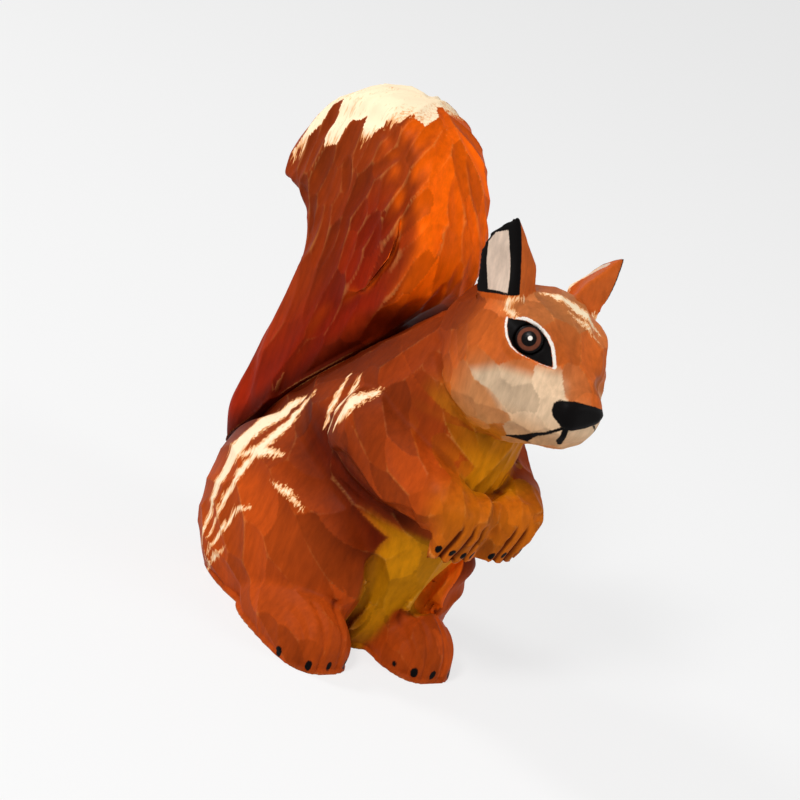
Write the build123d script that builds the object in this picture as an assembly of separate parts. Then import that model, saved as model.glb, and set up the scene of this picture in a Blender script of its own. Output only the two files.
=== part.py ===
from build123d import *
import os
from math import cos, radians, sin
from typing import NamedTuple

# A hand-carved wooden squirrel ornament that sits up with its tail against its back.
# It is glued up from blocks: trunk, head, tail, haunches, feet, arms and ears. The blocks
# meet on flat glue faces, dowels hold them, and the outside is carved across the joints.
# Units are millimetres. The squirrel faces -Y, its left side is +X and +Z is up.

# Trunk
trunk_height = 150.0
trunk_depth = 120.0
trunk_width = 84.0

# Head
head_length = 80.0
head_width = 62.0
head_height = 64.0
head_behind = 12.0
head_lift = 109.0
head_tilt = 4.0

# Tail
tail_height = 211.0
tail_depth = 97.0
tail_width = 46.0
tail_behind = 124.0

# Haunches
haunch_width = 52.0
haunch_length = 102.0
haunch_height = 92.0
haunch_aside = 22.0
right_haunch_behind = 41.0
left_haunch_behind = 34.0
haunch_lift = 33.0

# Feet
foot_length = 58.0
foot_width = 33.0
foot_height = 26.0
right_foot_aside = 34.5
left_foot_aside = 13.0
right_heel_behind = 37.0
left_heel_behind = 27.0

# Arms
arm_girth = 38.0
hand_width = 29.0
hand_thickness = 18.0

# Ears
right_ear_height = 42.0
left_ear_height = 34.0
ear_length = 25.0
ear_thickness = 15.0
ear_root_aside = 19.0
ear_root_ahead = 20.0
ear_root_lift = 49.0
ear_lean = 17.0
ear_rake = 7.0
ear_splay = 15.0
ear_hollow_length = 14.0
ear_hollow_height = 25.0
ear_hollow_depth = 2.0

# Eyes
eye_diameter = 10.5
eye_depth = 6.0
eye_dome = 1.6
eye_sink = 1.6
eye_aside = 19.4
eye_ahead = 43.5
eye_lift = 46.8
eye_turn = 55.0
eye_rise = 18.0

# Glue faces
tail_seat_behind = 84.0
tail_seat_height = 62.0
tail_seat_slope = 53.0
neck_seat_ahead = 14.0
neck_seat_lift = 9.0
neck_seat_slope = 18.0
haunch_seat_aside = 21.0
haunch_top_behind = 20.0
haunch_top_height = 71.0
haunch_top_slope = 25.0
foot_seat_slope = 30.0
arm_seat_aside = 2.0
arm_seat_ahead = 31.0
arm_seat_turn = 31.0
arm_rear_behind = 20.0
arm_under_ahead = 38.0
arm_under_height = 58.0
arm_under_slope = 12.0
arm_top_height = 112.0
ear_seat_lift = 3.0
ear_block_length = 31.0
ear_block_width = 22.0

# Dowels
neck_dowel_diameter = 12.0
neck_dowel_length = 48.0
tail_dowel_diameter = 8.0
tail_dowel_length = 34.0
tail_dowel_low = 6.0
tail_dowel_high = 34.0
haunch_dowel_diameter = 8.0
haunch_dowel_length = 32.0
haunch_dowel_height = 38.0
haunch_dowel_front_behind = 24.0
haunch_dowel_rear_behind = 62.0
arm_dowel_diameter = 8.0
arm_dowel_length = 26.0
arm_dowel_along = 27.0
arm_dowel_height = 86.0
foot_dowel_diameter = 6.0
foot_dowel_length = 20.0
foot_dowel_along = 30.0
foot_dowel_inset = 2.0
ear_dowel_diameter = 4.0
ear_dowel_length = 14.0
dowel_chamfer = 0.6
glue_gap = 0.1
dowel_end_gap = 1.0

# Size of the cutting blocks, larger than the figure
stock = 4 * trunk_height

# Trunk sections: height, centre ahead, half depth, half width
trunk_shares = (
    (0.00, -0.34, 0.37, 0.30),
    (0.14, -0.34, 0.45, 0.36),
    (0.30, -0.31, 0.49, 0.40),
    (0.47, -0.23, 0.48, 0.42),
    (0.63, -0.12, 0.41, 0.41),
    (0.77, -0.03, 0.33, 0.36),
    (0.90, 0.05, 0.25, 0.29),
    (1.00, 0.09, 0.16, 0.20),
)

# Head sections from nape to nose: along, half width, top, bottom, height of the widest line
head_shares = (
    (0.00, 0.10, 0.64, 0.34, 0.50),
    (0.10, 0.28, 0.80, 0.14, 0.48),
    (0.28, 0.42, 0.92, 0.02, 0.44),
    (0.46, 0.50, 0.98, 0.00, 0.42),
    (0.64, 0.48, 0.96, 0.05, 0.42),
    (0.75, 0.40, 0.87, 0.10, 0.44),
    (0.85, 0.30, 0.74, 0.15, 0.42),
    (0.93, 0.22, 0.63, 0.20, 0.42),
    (0.98, 0.16, 0.56, 0.27, 0.42),
    (1.00, 0.10, 0.50, 0.33, 0.42),
)
head_upper_share = 0.76
head_lower_share = 0.74
head_bow_share = 0.72
head_pivot_share = 0.48

# Tail outline in side view: along from the tip, height
tail_back_shares = (
    (0.29, 0.05), (0.20, 0.19), (0.23, 0.37), (0.31, 0.545), (0.27, 0.655), (0.18, 0.70), (0.00, 0.725),
)
tail_crown_shares = (
    (0.00, 0.725), (0.02, 0.825), (0.14, 0.92), (0.35, 0.987),
    (0.62, 0.995), (0.84, 0.943), (0.98, 0.845), (0.99, 0.71),
)
tail_front_shares = ((0.99, 0.71), (0.90, 0.60), (0.72, 0.46), (0.56, 0.29), (0.48, 0.05))
tail_centre_shares = (0.52, 0.78)
# Tail sections across: place over the half width, size of the outline
tail_across_shares = (
    (-1.00, 0.62), (-0.88, 0.82), (-0.68, 0.925), (-0.38, 0.98), (0.00, 1.00),
    (0.38, 0.98), (0.68, 0.925), (0.88, 0.82), (1.00, 0.62),
)

# Foot sections from heel to toes: along, half width, centre height, half height
foot_shares = (
    (0.00, 0.19, 0.23, 0.27),
    (0.10, 0.33, 0.27, 0.50),
    (0.38, 0.44, 0.27, 0.69),
    (0.70, 0.485, 0.23, 0.73),
    (0.87, 0.44, 0.19, 0.62),
    (0.97, 0.31, 0.15, 0.42),
    (1.00, 0.17, 0.12, 0.23),
)

# Arm and hand sections: aside, ahead and up as shares of the trunk, heading, half sizes
arm_shares = (
    (0.26, -0.22, 0.60, (0.2, 1.0, -0.1), 0.26, 0.32),
    (0.33, -0.10, 0.61, (0.1, 1.0, -0.15), 0.39, 0.50),
    (0.31, 0.12, 0.57, (-0.1, 1.0, -0.15), 0.33, 0.45),
    (0.23, 0.27, 0.55, (-0.5, 1.0, 0.0), 0.31, 0.34),
    (0.17, 0.35, 0.55, (-0.5, 1.0, 0.0), 0.21, 0.21),
)
hand_shares = (
    (0.17, 0.33, 0.60, (-0.05, -0.1, -1.0), 0.33, 0.28),
    (0.155, 0.34, 0.55, (-0.05, -0.1, -1.0), 0.50, 0.50),
    (0.14, 0.33, 0.48, (0.0, -0.15, -1.0), 0.48, 0.44),
    (0.14, 0.32, 0.41, (0.0, -0.15, -1.0), 0.44, 0.28),
)

# Ear sections from root to tip: along, then ahead and outward of the outer front edge, the rear edge
# and the inner front edge
ear_shares = (
    (0.00, (0.52, 0.40), (-0.38, 0.10), (0.44, -0.60)),
    (0.28, (0.50, 0.40), (-0.42, 0.16), (0.42, -0.62)),
    (0.48, (0.43, 0.37), (-0.46, 0.20), (0.36, -0.58)),
    (0.74, (0.28, 0.30), (-0.36, 0.20), (0.23, -0.20)),
    (0.90, (0.17, 0.27), (-0.15, 0.20), (0.14, 0.00)),
    (1.00, (0.09, 0.25), (0.03, 0.24), (0.08, 0.16)),
)
ear_hollow_shares = (0.00, 0.36, 0.46)

RIGHT = -1
LEFT = 1


class Joint(NamedTuple):
    """A dowel on a glue face: its group, the face, the two pieces it holds and its sizes."""

    group: str
    seat: Plane
    pieces: tuple
    diameter: float
    length: float


def at(left, ahead, up):
    """A point from its distance to the animal's left, ahead and up."""
    return Vector(left, -ahead, up)


def section(centre, across, heading, half_width, half_height):
    """An elliptical carving section square to its heading."""
    plane = Plane(centre, x_dir=across, z_dir=heading)
    return Wire.make_ellipse(half_width, half_height, plane)


def ellipsoid(centre, length_x, length_y, length_z):
    """An ellipsoid with the given full sizes."""
    ball = scale(Sphere(1 / 2), by=(length_x, length_y, length_z))
    return Pos(centre.X, centre.Y, centre.Z) * ball


def trunk_form():
    """The trunk, from the flat rest face up into the head."""
    wires = []
    for up, ahead, half_depth, half_width in trunk_shares:
        centre = at(0, ahead * trunk_depth, up * trunk_height)
        wires.append(section(centre, (1, 0, 0), (0, 0, 1), half_width * trunk_width, half_depth * trunk_depth))
    return Solid.make_loft(wires)


def head_form():
    """The head from nape to nose, full in the cheeks, before it is tilted."""
    wires = []
    for along, half_width, top, bottom, widest in head_shares:
        ahead = along * head_length - head_behind
        half = half_width * head_width
        high, low, middle = (head_lift + share * head_height for share in (top, bottom, widest))
        brow = middle + head_bow_share * (high - middle)
        jaw = middle - head_bow_share * (middle - low)
        points = [
            at(0, ahead, high),
            at(head_upper_share * half, ahead, brow),
            at(half, ahead, middle),
            at(head_lower_share * half, ahead, jaw),
            at(0, ahead, low),
            at(-head_lower_share * half, ahead, jaw),
            at(-half, ahead, middle),
            at(-head_upper_share * half, ahead, brow),
        ]
        wires.append(Wire([Edge.make_spline(points, periodic=True)]))
    return Solid.make_loft(wires)


def tail_form():
    """The tail: one outline, smaller towards both sides."""
    centre_along, centre_up = tail_centre_shares
    wires = []
    for across, size in tail_across_shares:

        def spot(share):
            along = centre_along + (share[0] - centre_along) * size
            up = centre_up + (share[1] - centre_up) * size
            return at(across * tail_width / 2, along * tail_depth - tail_behind, up * tail_height)

        back = [spot(share) for share in tail_back_shares]
        crown = [spot(share) for share in tail_crown_shares]
        front = [spot(share) for share in tail_front_shares]
        edges = [Edge.make_spline(back), Edge.make_spline(crown), Edge.make_spline(front)]
        wires.append(Wire(edges + [Edge.make_line(front[-1], back[0])]))
    return Solid.make_loft(wires)


def haunch_form(side, behind):
    """A haunch, cut off later at the rest face."""
    centre = at(side * haunch_aside, -behind, haunch_lift)
    return ellipsoid(centre, haunch_width, haunch_length, haunch_height)


def foot_form(aside, heel_behind):
    """A foot from heel to toes."""
    wires = []
    for along, half_width, up, half_height in foot_shares:
        centre = at(aside, along * foot_length - heel_behind, up * foot_height)
        wires.append(section(centre, (1, 0, 0), at(0, 1, 0), half_width * foot_width, half_height * foot_height))
    return Solid.make_loft(wires)


def limb_form(rows, side, width, height):
    """A limb through the given rows of sections."""
    wires = []
    for aside, ahead, up, heading, half_width, half_height in rows:
        centre = at(side * aside * trunk_width, ahead * trunk_depth, up * trunk_height)
        forward = at(side * heading[0], heading[1], heading[2])
        across = at(heading[1], -side * heading[0], 0) if abs(heading[2]) < abs(heading[1]) else at(1, 0, 0)
        wires.append(section(centre, across, forward, half_width * width, half_height * height))
    return Solid.make_loft(wires)


def arm_form(side):
    """An arm with its hand hung in front of the chest."""
    arm = limb_form(arm_shares, side, arm_girth, arm_girth)
    hand = limb_form(hand_shares, side, hand_width, hand_thickness)
    return arm.fuse(hand)


def ear_frame(side):
    """The frame of an ear: +Z runs up the ear, +X points ahead and +Y to the animal's left."""
    lean, rake, splay = radians(ear_lean), radians(ear_rake), radians(ear_splay)
    root = at(side * ear_root_aside, ear_root_ahead, head_lift + ear_root_lift)
    up_the_ear = at(side * sin(lean), cos(lean) * sin(rake), cos(lean) * cos(rake))
    return Plane(root, x_dir=at(-side * sin(splay), cos(splay), 0), z_dir=up_the_ear)


def ear_form(side):
    """An ear: a three-sided blade with a shallow hollow on its outer side."""
    frame = ear_frame(side)
    height = right_ear_height if side == RIGHT else left_ear_height
    wires = []
    for along, *corners in ear_shares:
        level = frame.offset(along * height)
        spots = [(ahead * ear_length, side * out * ear_thickness, 0) for ahead, out in corners]
        wires.append(Wire.make_polygon([level.from_local_coords(spot) for spot in spots]))
    ahead, out, along = ear_hollow_shares
    centre = Vector(ahead * ear_length, side * out * ear_thickness, along * height)
    hollow = ellipsoid(centre, ear_hollow_length, 2 * ear_hollow_depth, ear_hollow_height)
    return Solid.make_loft(wires, ruled=True).cut(frame.location * hollow)


def ear_block(side):
    """The block an ear is carved from, down to its glue face."""
    seat = ear_frame(side).offset(ear_seat_lift)
    upward = (Align.CENTER, Align.CENTER, Align.MIN)
    return seat.location * Box(ear_block_length, ear_block_width, stock, align=upward)


def region(*faces):
    """A convex block bounded by planes that point out of it."""
    block = Box(stock, stock, stock).solid()
    for face in faces:
        block = block.split(face, keep=Keep.BOTTOM)
    return block


def haunch_block(side):
    """The block a haunch is carved from."""
    slope = radians(haunch_top_slope)
    inner = Plane(at(side * haunch_seat_aside, 0, 0), z_dir=at(-side, 0, 0))
    top = Plane(at(0, -haunch_top_behind, haunch_top_height), z_dir=at(0, sin(slope), cos(slope)))
    return region(inner, top)


def foot_seat(heel_behind):
    """The sloping glue face over a foot, with its normal up out of the foot."""
    slope = radians(foot_seat_slope)
    heel = at(0, -heel_behind, 0)
    return Plane(heel, x_dir=at(0, cos(slope), sin(slope)), z_dir=at(0, -sin(slope), cos(slope)))


def foot_block(side, aside, heel_behind):
    """The block a foot is carved from."""
    inner = Plane(at(side * (aside - foot_width / 2), 0, 0), z_dir=at(-side, 0, 0))
    return region(inner, foot_seat(heel_behind))


def arm_seat(side):
    """The upright glue face behind an arm, with its normal out into the arm."""
    turn = radians(arm_seat_turn)
    corner = at(side * arm_seat_aside, arm_seat_ahead, arm_dowel_height)
    return Plane(corner, x_dir=at(side * sin(turn), -cos(turn), 0), z_dir=at(side * cos(turn), sin(turn), 0))


def arm_block(side):
    """The block an arm is carved from."""
    slope = radians(arm_under_slope)
    seat = arm_seat(side)
    return region(
        Plane(seat.origin, z_dir=-seat.z_dir),
        Plane(at(0, 0, 0), z_dir=at(-side, 0, 0)),
        Plane(at(0, -arm_rear_behind, 0), z_dir=at(0, -1, 0)),
        Plane(at(0, arm_under_ahead, arm_under_height), z_dir=at(0, -sin(slope), -cos(slope))),
        Plane(at(0, 0, arm_top_height), z_dir=at(0, 0, 1)),
    )


def shifted(seat, along, aside=0):
    """A glue face with its origin moved within the face."""
    return Plane(seat.from_local_coords((along, aside, 0)), x_dir=seat.x_dir, z_dir=seat.z_dir)


def dowel(joint):
    """The chamfered dowel of a joint, centred on its glue face."""
    pin = Cylinder(joint.diameter / 2, joint.length)
    pin = chamfer(pin.edges().filter_by(GeomType.CIRCLE), dowel_chamfer)
    return (joint.seat.location * pin).solid()


def dowel_bore(joint):
    """The hole for a dowel, with room for glue round it and at its ends."""
    return joint.seat.location * Cylinder(joint.diameter / 2 + glue_gap, joint.length + 2 * dowel_end_gap)


def eye_frame(head, side):
    """The frame of an eye on the head's surface, with +Z out of the eye."""
    turn, rise = radians(eye_turn), radians(eye_rise)
    gaze = at(side * sin(turn) * cos(rise), cos(turn) * cos(rise), sin(rise))
    middle = at(side * eye_aside, eye_ahead, head_lift + eye_lift)
    spots = [point for point, _ in head.find_intersection_points(Axis(middle, gaze))]
    spot = min(spots, key=lambda point: (point - middle).length)
    return Plane(spot - gaze * eye_sink, z_dir=gaze)


def eye_peg():
    """An eye: a short peg with a domed end, its rim at z = 0."""
    radius = eye_diameter / 2
    ball_radius = (radius**2 + eye_dome**2) / (2 * eye_dome)
    upward = (Align.CENTER, Align.CENTER, Align.MIN)
    peg = Pos(0, 0, -eye_depth) * Cylinder(radius, eye_depth + eye_dome, align=upward)
    return peg & Pos(0, 0, eye_dome - ball_radius) * Sphere(ball_radius)


def eye_socket():
    """The drilled hole for an eye, open to the front."""
    return Cylinder(eye_diameter / 2 + glue_gap, 2 * (eye_depth + dowel_end_gap))


def one(shape):
    """The single solid of a cut block."""
    solids = shape.solids()
    assert len(solids) == 1, f"a block came out as {len(solids)} solids"
    return solids[0]


def tail_glue_face():
    """The sloping glue face of the tail, with its normal into the tail."""
    slope = radians(tail_seat_slope)
    foot = at(0, -tail_seat_behind, tail_seat_height)
    return Plane(foot, x_dir=at(0, cos(slope), sin(slope)), z_dir=at(0, -sin(slope), cos(slope)))


def neck_glue_face():
    """The glue face of the neck, with its normal into the head."""
    slope = radians(neck_seat_slope)
    seat = at(0, neck_seat_ahead, head_lift + neck_seat_lift)
    return Plane(seat, z_dir=at(0, sin(slope), cos(slope)))


def head_lean():
    """The small sideways tilt of the head, which its ears and eyes share."""
    pivot = head_lift + head_pivot_share * head_height
    return Pos(0, 0, pivot) * Rot(0, head_tilt, 0) * Pos(0, 0, -pivot)


def body_form():
    """Everything but the tail and ears as one carved form, flat at the rest face."""
    body = trunk_form().fuse(
        head_lean() * head_form(),
        haunch_form(RIGHT, right_haunch_behind),
        haunch_form(LEFT, left_haunch_behind),
        foot_form(-right_foot_aside, right_heel_behind),
        foot_form(left_foot_aside, left_heel_behind),
        arm_form(RIGHT),
        arm_form(LEFT),
    )
    return body.split(Plane.XY, keep=Keep.TOP)


def carved_blocks():
    """The wooden blocks by name, parted at their glue faces and not yet drilled."""
    body = body_form().split(tail_glue_face(), keep=Keep.BOTTOM)
    head = body.split(neck_glue_face(), keep=Keep.TOP)
    head = head.fuse(head_lean() * ear_form(RIGHT), head_lean() * ear_form(LEFT))
    trunk = body.split(neck_glue_face(), keep=Keep.BOTTOM)
    pieces = {"tail": one(tail_form().split(tail_glue_face(), keep=Keep.TOP))}
    ear_blocks = {
        "right_ear": head_lean() * ear_block(RIGHT),
        "left_ear": head_lean() * ear_block(LEFT),
    }
    for name, block in ear_blocks.items():
        pieces[name] = one(head.intersect(block))
        head = head.cut(block)
    limb_blocks = {
        "right_foot": foot_block(RIGHT, right_foot_aside, right_heel_behind),
        "left_foot": foot_block(LEFT, left_foot_aside, left_heel_behind),
        "right_haunch": haunch_block(RIGHT),
        "left_haunch": haunch_block(LEFT),
        "right_arm": arm_block(RIGHT),
        "left_arm": arm_block(LEFT),
    }
    for name, block in limb_blocks.items():
        pieces[name] = one(trunk.intersect(block))
        trunk = trunk.cut(block)
    pieces["head"] = one(head)
    pieces["trunk"] = one(trunk)
    return pieces


def glue_joints():
    """Every dowelled joint of the figure."""
    joints = [Joint("neck_dowel", neck_glue_face(), ("trunk", "head"), neck_dowel_diameter, neck_dowel_length)]
    for along in (tail_dowel_low, tail_dowel_high):
        seat = shifted(tail_glue_face(), along)
        joints.append(Joint("tail_dowels", seat, ("trunk", "tail"), tail_dowel_diameter, tail_dowel_length))
    for side, name in ((RIGHT, "right"), (LEFT, "left")):
        for behind in (haunch_dowel_front_behind, haunch_dowel_rear_behind):
            spot = at(side * haunch_seat_aside, -behind, haunch_dowel_height)
            seat = Plane(spot, z_dir=at(side, 0, 0))
            held = ("trunk", name + "_haunch")
            joints.append(Joint("haunch_dowels", seat, held, haunch_dowel_diameter, haunch_dowel_length))
        seat = shifted(arm_seat(side), arm_dowel_along)
        joints.append(Joint("arm_dowels", seat, ("trunk", name + "_arm"), arm_dowel_diameter, arm_dowel_length))
        seat = Plane(head_lean() * ear_frame(side).offset(ear_seat_lift).location)
        joints.append(Joint("ear_dowels", seat, ("head", name + "_ear"), ear_dowel_diameter, ear_dowel_length))
    feet = (
        (foot_dowel_inset - right_foot_aside, right_heel_behind, ("right_haunch", "right_foot")),
        (left_foot_aside - foot_dowel_inset, left_heel_behind, ("trunk", "left_foot")),
    )
    for aside, heel_behind, held in feet:
        seat = shifted(foot_seat(heel_behind), foot_dowel_along, aside)
        joints.append(Joint("foot_dowels", seat, held, foot_dowel_diameter, foot_dowel_length))
    return joints


def squirrel():
    """Returns every piece of the figure as a list of solids under its name."""
    blocks = carved_blocks()
    pieces = {}
    for joint in glue_joints():
        for name in joint.pieces:
            blocks[name] = one(blocks[name].cut(dowel_bore(joint)))
        pieces.setdefault(joint.group, []).append(dowel(joint))
    straight_head = head_form()
    for side, name in ((RIGHT, "right"), (LEFT, "left")):
        frame = head_lean() * eye_frame(straight_head, side).location
        blocks["head"] = one(blocks["head"].cut(frame * eye_socket()))
        pieces[name + "_eye"] = [one(frame * eye_peg())]
    for name, block in blocks.items():
        pieces[name] = [block]
    return pieces


def main():
    """Writes every piece, with the figure centred over the middle of its rest face."""
    os.makedirs("parts", exist_ok=True)
    nose_ahead = head_length - head_behind
    centred = Pos(0, (nose_ahead - tail_behind) / 2, 0)
    for name, solids in squirrel().items():
        placed = [centred * solid for solid in solids]
        shape = placed[0] if len(placed) == 1 else Compound(children=placed)
        export_step(shape, os.path.join("parts", name + ".step"))


main()
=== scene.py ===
"""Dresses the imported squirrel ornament: gouge cuts in its blocks, then hand-painted colours."""

from __future__ import annotations

import logging
import math
from collections.abc import Sequence
from dataclasses import dataclass, field
from enum import Enum

import bmesh
import bpy
import numpy as np
from mathutils import Matrix, Vector
from mathutils.bvhtree import BVHTree
from mathutils.kdtree import KDTree

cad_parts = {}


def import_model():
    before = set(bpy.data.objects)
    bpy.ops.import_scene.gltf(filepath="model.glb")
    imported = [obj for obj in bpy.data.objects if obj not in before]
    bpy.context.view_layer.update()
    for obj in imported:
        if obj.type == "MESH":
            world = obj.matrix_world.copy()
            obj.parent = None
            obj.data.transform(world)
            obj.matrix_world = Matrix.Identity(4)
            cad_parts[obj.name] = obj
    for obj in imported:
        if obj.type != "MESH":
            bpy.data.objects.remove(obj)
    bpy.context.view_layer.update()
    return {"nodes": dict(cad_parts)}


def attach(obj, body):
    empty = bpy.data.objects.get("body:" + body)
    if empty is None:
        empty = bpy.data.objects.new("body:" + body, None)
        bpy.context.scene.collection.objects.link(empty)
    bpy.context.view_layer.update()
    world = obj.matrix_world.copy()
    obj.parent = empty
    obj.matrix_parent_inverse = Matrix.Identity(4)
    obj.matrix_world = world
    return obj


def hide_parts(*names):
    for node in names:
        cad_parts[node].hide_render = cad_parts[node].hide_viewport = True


LOG = logging.getLogger("squirrel")
MM = 0.001
AHEAD_OFFSET = 28.0
HEAD_TILT = math.radians(4.0)
HEAD_PIVOT = 139.72
SEED = 20
TAIL_SEAT = (0.0, -84.0, 62.0)
TAIL_SLOPE = math.radians(53.0)
TILT = np.array(Matrix.Rotation(HEAD_TILT, 3, "Y"))
BEYOND = 1e3
OFF_MARK = 9.0

Point = tuple[float, float, float]
Line = tuple[Point, ...]
Tube = tuple[tuple[float, float, float, float], ...]
Outline = tuple[tuple[float, float], ...]
Plane = tuple[np.ndarray, np.ndarray]
Frame = dict[str, bpy.types.Object]
Socket = bpy.types.NodeSocket


class Limb(Enum):
    """The blocks that come in pairs."""

    HAUNCH = "haunch"
    FOOT = "foot"
    ARM = "arm"
    EAR = "ear"


class Side(Enum):
    """The animal's right or left side."""

    RIGHT = -1
    LEFT = 1

    def node(self, limb: Limb) -> Node:
        """The block of a limb on this side."""
        return Node(f"{self.name.lower()}_{limb.value}")

    def flip(self) -> np.ndarray:
        """Factors that take a left-hand place to this side."""
        return np.array([self.value, 1.0, 1.0])


class Cut(Enum):
    """What a block takes from a carved skin: what lies inside it, or what is left."""

    KEEP = "INTERSECT"
    REMOVE = "DIFFERENCE"


class Node(Enum):
    """The wooden blocks of the figure."""

    TRUNK = "trunk"
    HEAD = "head"
    TAIL = "tail"
    RIGHT_HAUNCH = "right_haunch"
    LEFT_HAUNCH = "left_haunch"
    RIGHT_FOOT = "right_foot"
    LEFT_FOOT = "left_foot"
    RIGHT_ARM = "right_arm"
    LEFT_ARM = "left_arm"
    RIGHT_EAR = "right_ear"
    LEFT_EAR = "left_ear"


def spot(left: float, ahead: float, up: float) -> np.ndarray:
    """A point in row-frame millimetres from its distance left, ahead and up."""
    return np.array([left, -ahead - AHEAD_OFFSET, up])


def heading(left: float, ahead: float, up: float) -> np.ndarray:
    """A unit direction from its left, ahead and up parts."""
    way = np.array([left, -ahead, up], float)
    return way / np.linalg.norm(way)


def smoothstep(low: float, high: float, value: np.ndarray) -> np.ndarray:
    """A soft step from 0 at low to 1 at high."""
    share = np.clip((value - low) / (high - low), 0.0, 1.0)
    return share * share * (3.0 - 2.0 * share)


def unit(rows: np.ndarray) -> np.ndarray:
    """The rows of an array, each made one long."""
    return rows / np.maximum(np.linalg.norm(rows, axis=1, keepdims=True), 1e-9)


def hump(distance: np.ndarray, height: float, reach: float) -> np.ndarray:
    """A soft hump, full height at no distance and fading over the reach."""
    return height * np.exp(-((distance / reach) ** 2))


def over_tail_seat(places: np.ndarray) -> np.ndarray:
    """Height of places over the glue face between trunk and tail."""
    way = heading(0.0, -math.sin(TAIL_SLOPE), math.cos(TAIL_SLOPE))
    return (places - spot(*TAIL_SEAT)) @ way


def tilt_head(place: np.ndarray) -> np.ndarray:
    """Where a place on the upright head goes with the head's tilt."""
    pivot = spot(0.0, 0.0, HEAD_PIVOT)
    return TILT @ (place - pivot) + pivot


def run_gap(places: np.ndarray, start: np.ndarray, end: np.ndarray) -> tuple[np.ndarray, np.ndarray]:
    """Where places lie along a straight run, from 0 to 1, and how far they are from it."""
    run = end - start
    share = np.clip((places - start) @ run / (run @ run), 0.0, 1.0)
    return share, np.linalg.norm(places - start - share[:, None] * run, axis=1)


def capsule(places: np.ndarray, line: Line | Tube) -> np.ndarray:
    """Distance from a tapering line, in a plane or in space.

    Args:
        places: the places, one row each.
        line: corner points of the line, each followed by the half width there.

    Returns:
        Signed distances, below zero on the line.
    """
    best = np.full(len(places), BEYOND)
    corners = np.array(line)
    for first, second in zip(corners, corners[1:]):
        share, gap = run_gap(places, first[:-1], second[:-1])
        best = np.minimum(best, gap - (first[-1] + (second[-1] - first[-1]) * share))
    return best


def polygon(points: np.ndarray, corners: Outline) -> np.ndarray:
    """Signed distance to a closed outline in a plane, below zero inside."""
    inside = np.zeros(len(points), bool)
    best = np.full(len(points), BEYOND)
    for start, end in zip(corners, [*corners[1:], corners[0]]):
        best = np.minimum(best, run_gap(points, np.array(start), np.array(end))[1])
        (x0, y0), (x1, y1) = start, end
        across = (y0 > points[:, 1]) != (y1 > points[:, 1])
        rise = np.where(across, (points[:, 1] - y0) / (y1 - y0 if y1 != y0 else 1.0), 0.0)
        inside ^= across & (points[:, 0] < x0 + rise * (x1 - x0))
    return np.where(inside, -best, best)


@dataclass(frozen=True)
class Pigment:
    """A paint colour as it looks on the object, 0 to 255."""

    red: float
    green: float
    blue: float

    def linear(self) -> np.ndarray:
        """The colour in linear light."""
        share = np.array([self.red, self.green, self.blue]) / 255.0
        return np.where(share <= 0.04045, share / 12.92, ((share + 0.055) / 1.055) ** 2.4)

    def rgba(self) -> tuple[float, float, float, float]:
        """The colour for a shader socket."""
        return (*(float(part) for part in self.linear()), 1.0)


RUSSET = Pigment(174, 68, 15)
DEEP_RUSSET = Pigment(146, 42, 5)
CRIMSON = Pigment(138, 27, 3)
# Dark red, laid as painted shade in the valleys and creases, and thinly on the tail's sides.
EMBER = Pigment(76, 13, 0)
UMBER = Pigment(126, 44, 9)
CHESTNUT = Pigment(154, 57, 12)
ORANGE = Pigment(192, 82, 16)
BRIGHT_ORANGE = Pigment(252, 102, 4)
OCHRE = Pigment(200, 130, 6)
FACE = Pigment(198, 94, 34)
BROW = Pigment(208, 130, 74)
CREAM = Pigment(216, 184, 150)
TAN = Pigment(198, 142, 92)
PANEL = Pigment(218, 194, 174)
# Painted highlight colours for the pale streaks of hard light, from tan to near white.
HIGHLIGHT_CREAM = Pigment(252, 230, 194)
HIGHLIGHT_TAN = Pigment(230, 154, 88)
INK = Pigment(9, 7, 7)
LID = Pigment(240, 232, 222)
IRIS = Pigment(112, 62, 44)
DARK_IRIS = Pigment(74, 36, 24)
PALE_GRAIN = Pigment(222, 184, 136)
DARK_GRAIN = Pigment(178, 124, 78)


@dataclass(frozen=True)
class Gouge:
    """One kind of tool cut, in millimetres."""

    half_width: float
    half_length: float
    depth: float
    cover: float = 0.30
    wander: float = 0.16
    spread: float = 0.22
    lean: float = 0.45


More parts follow.
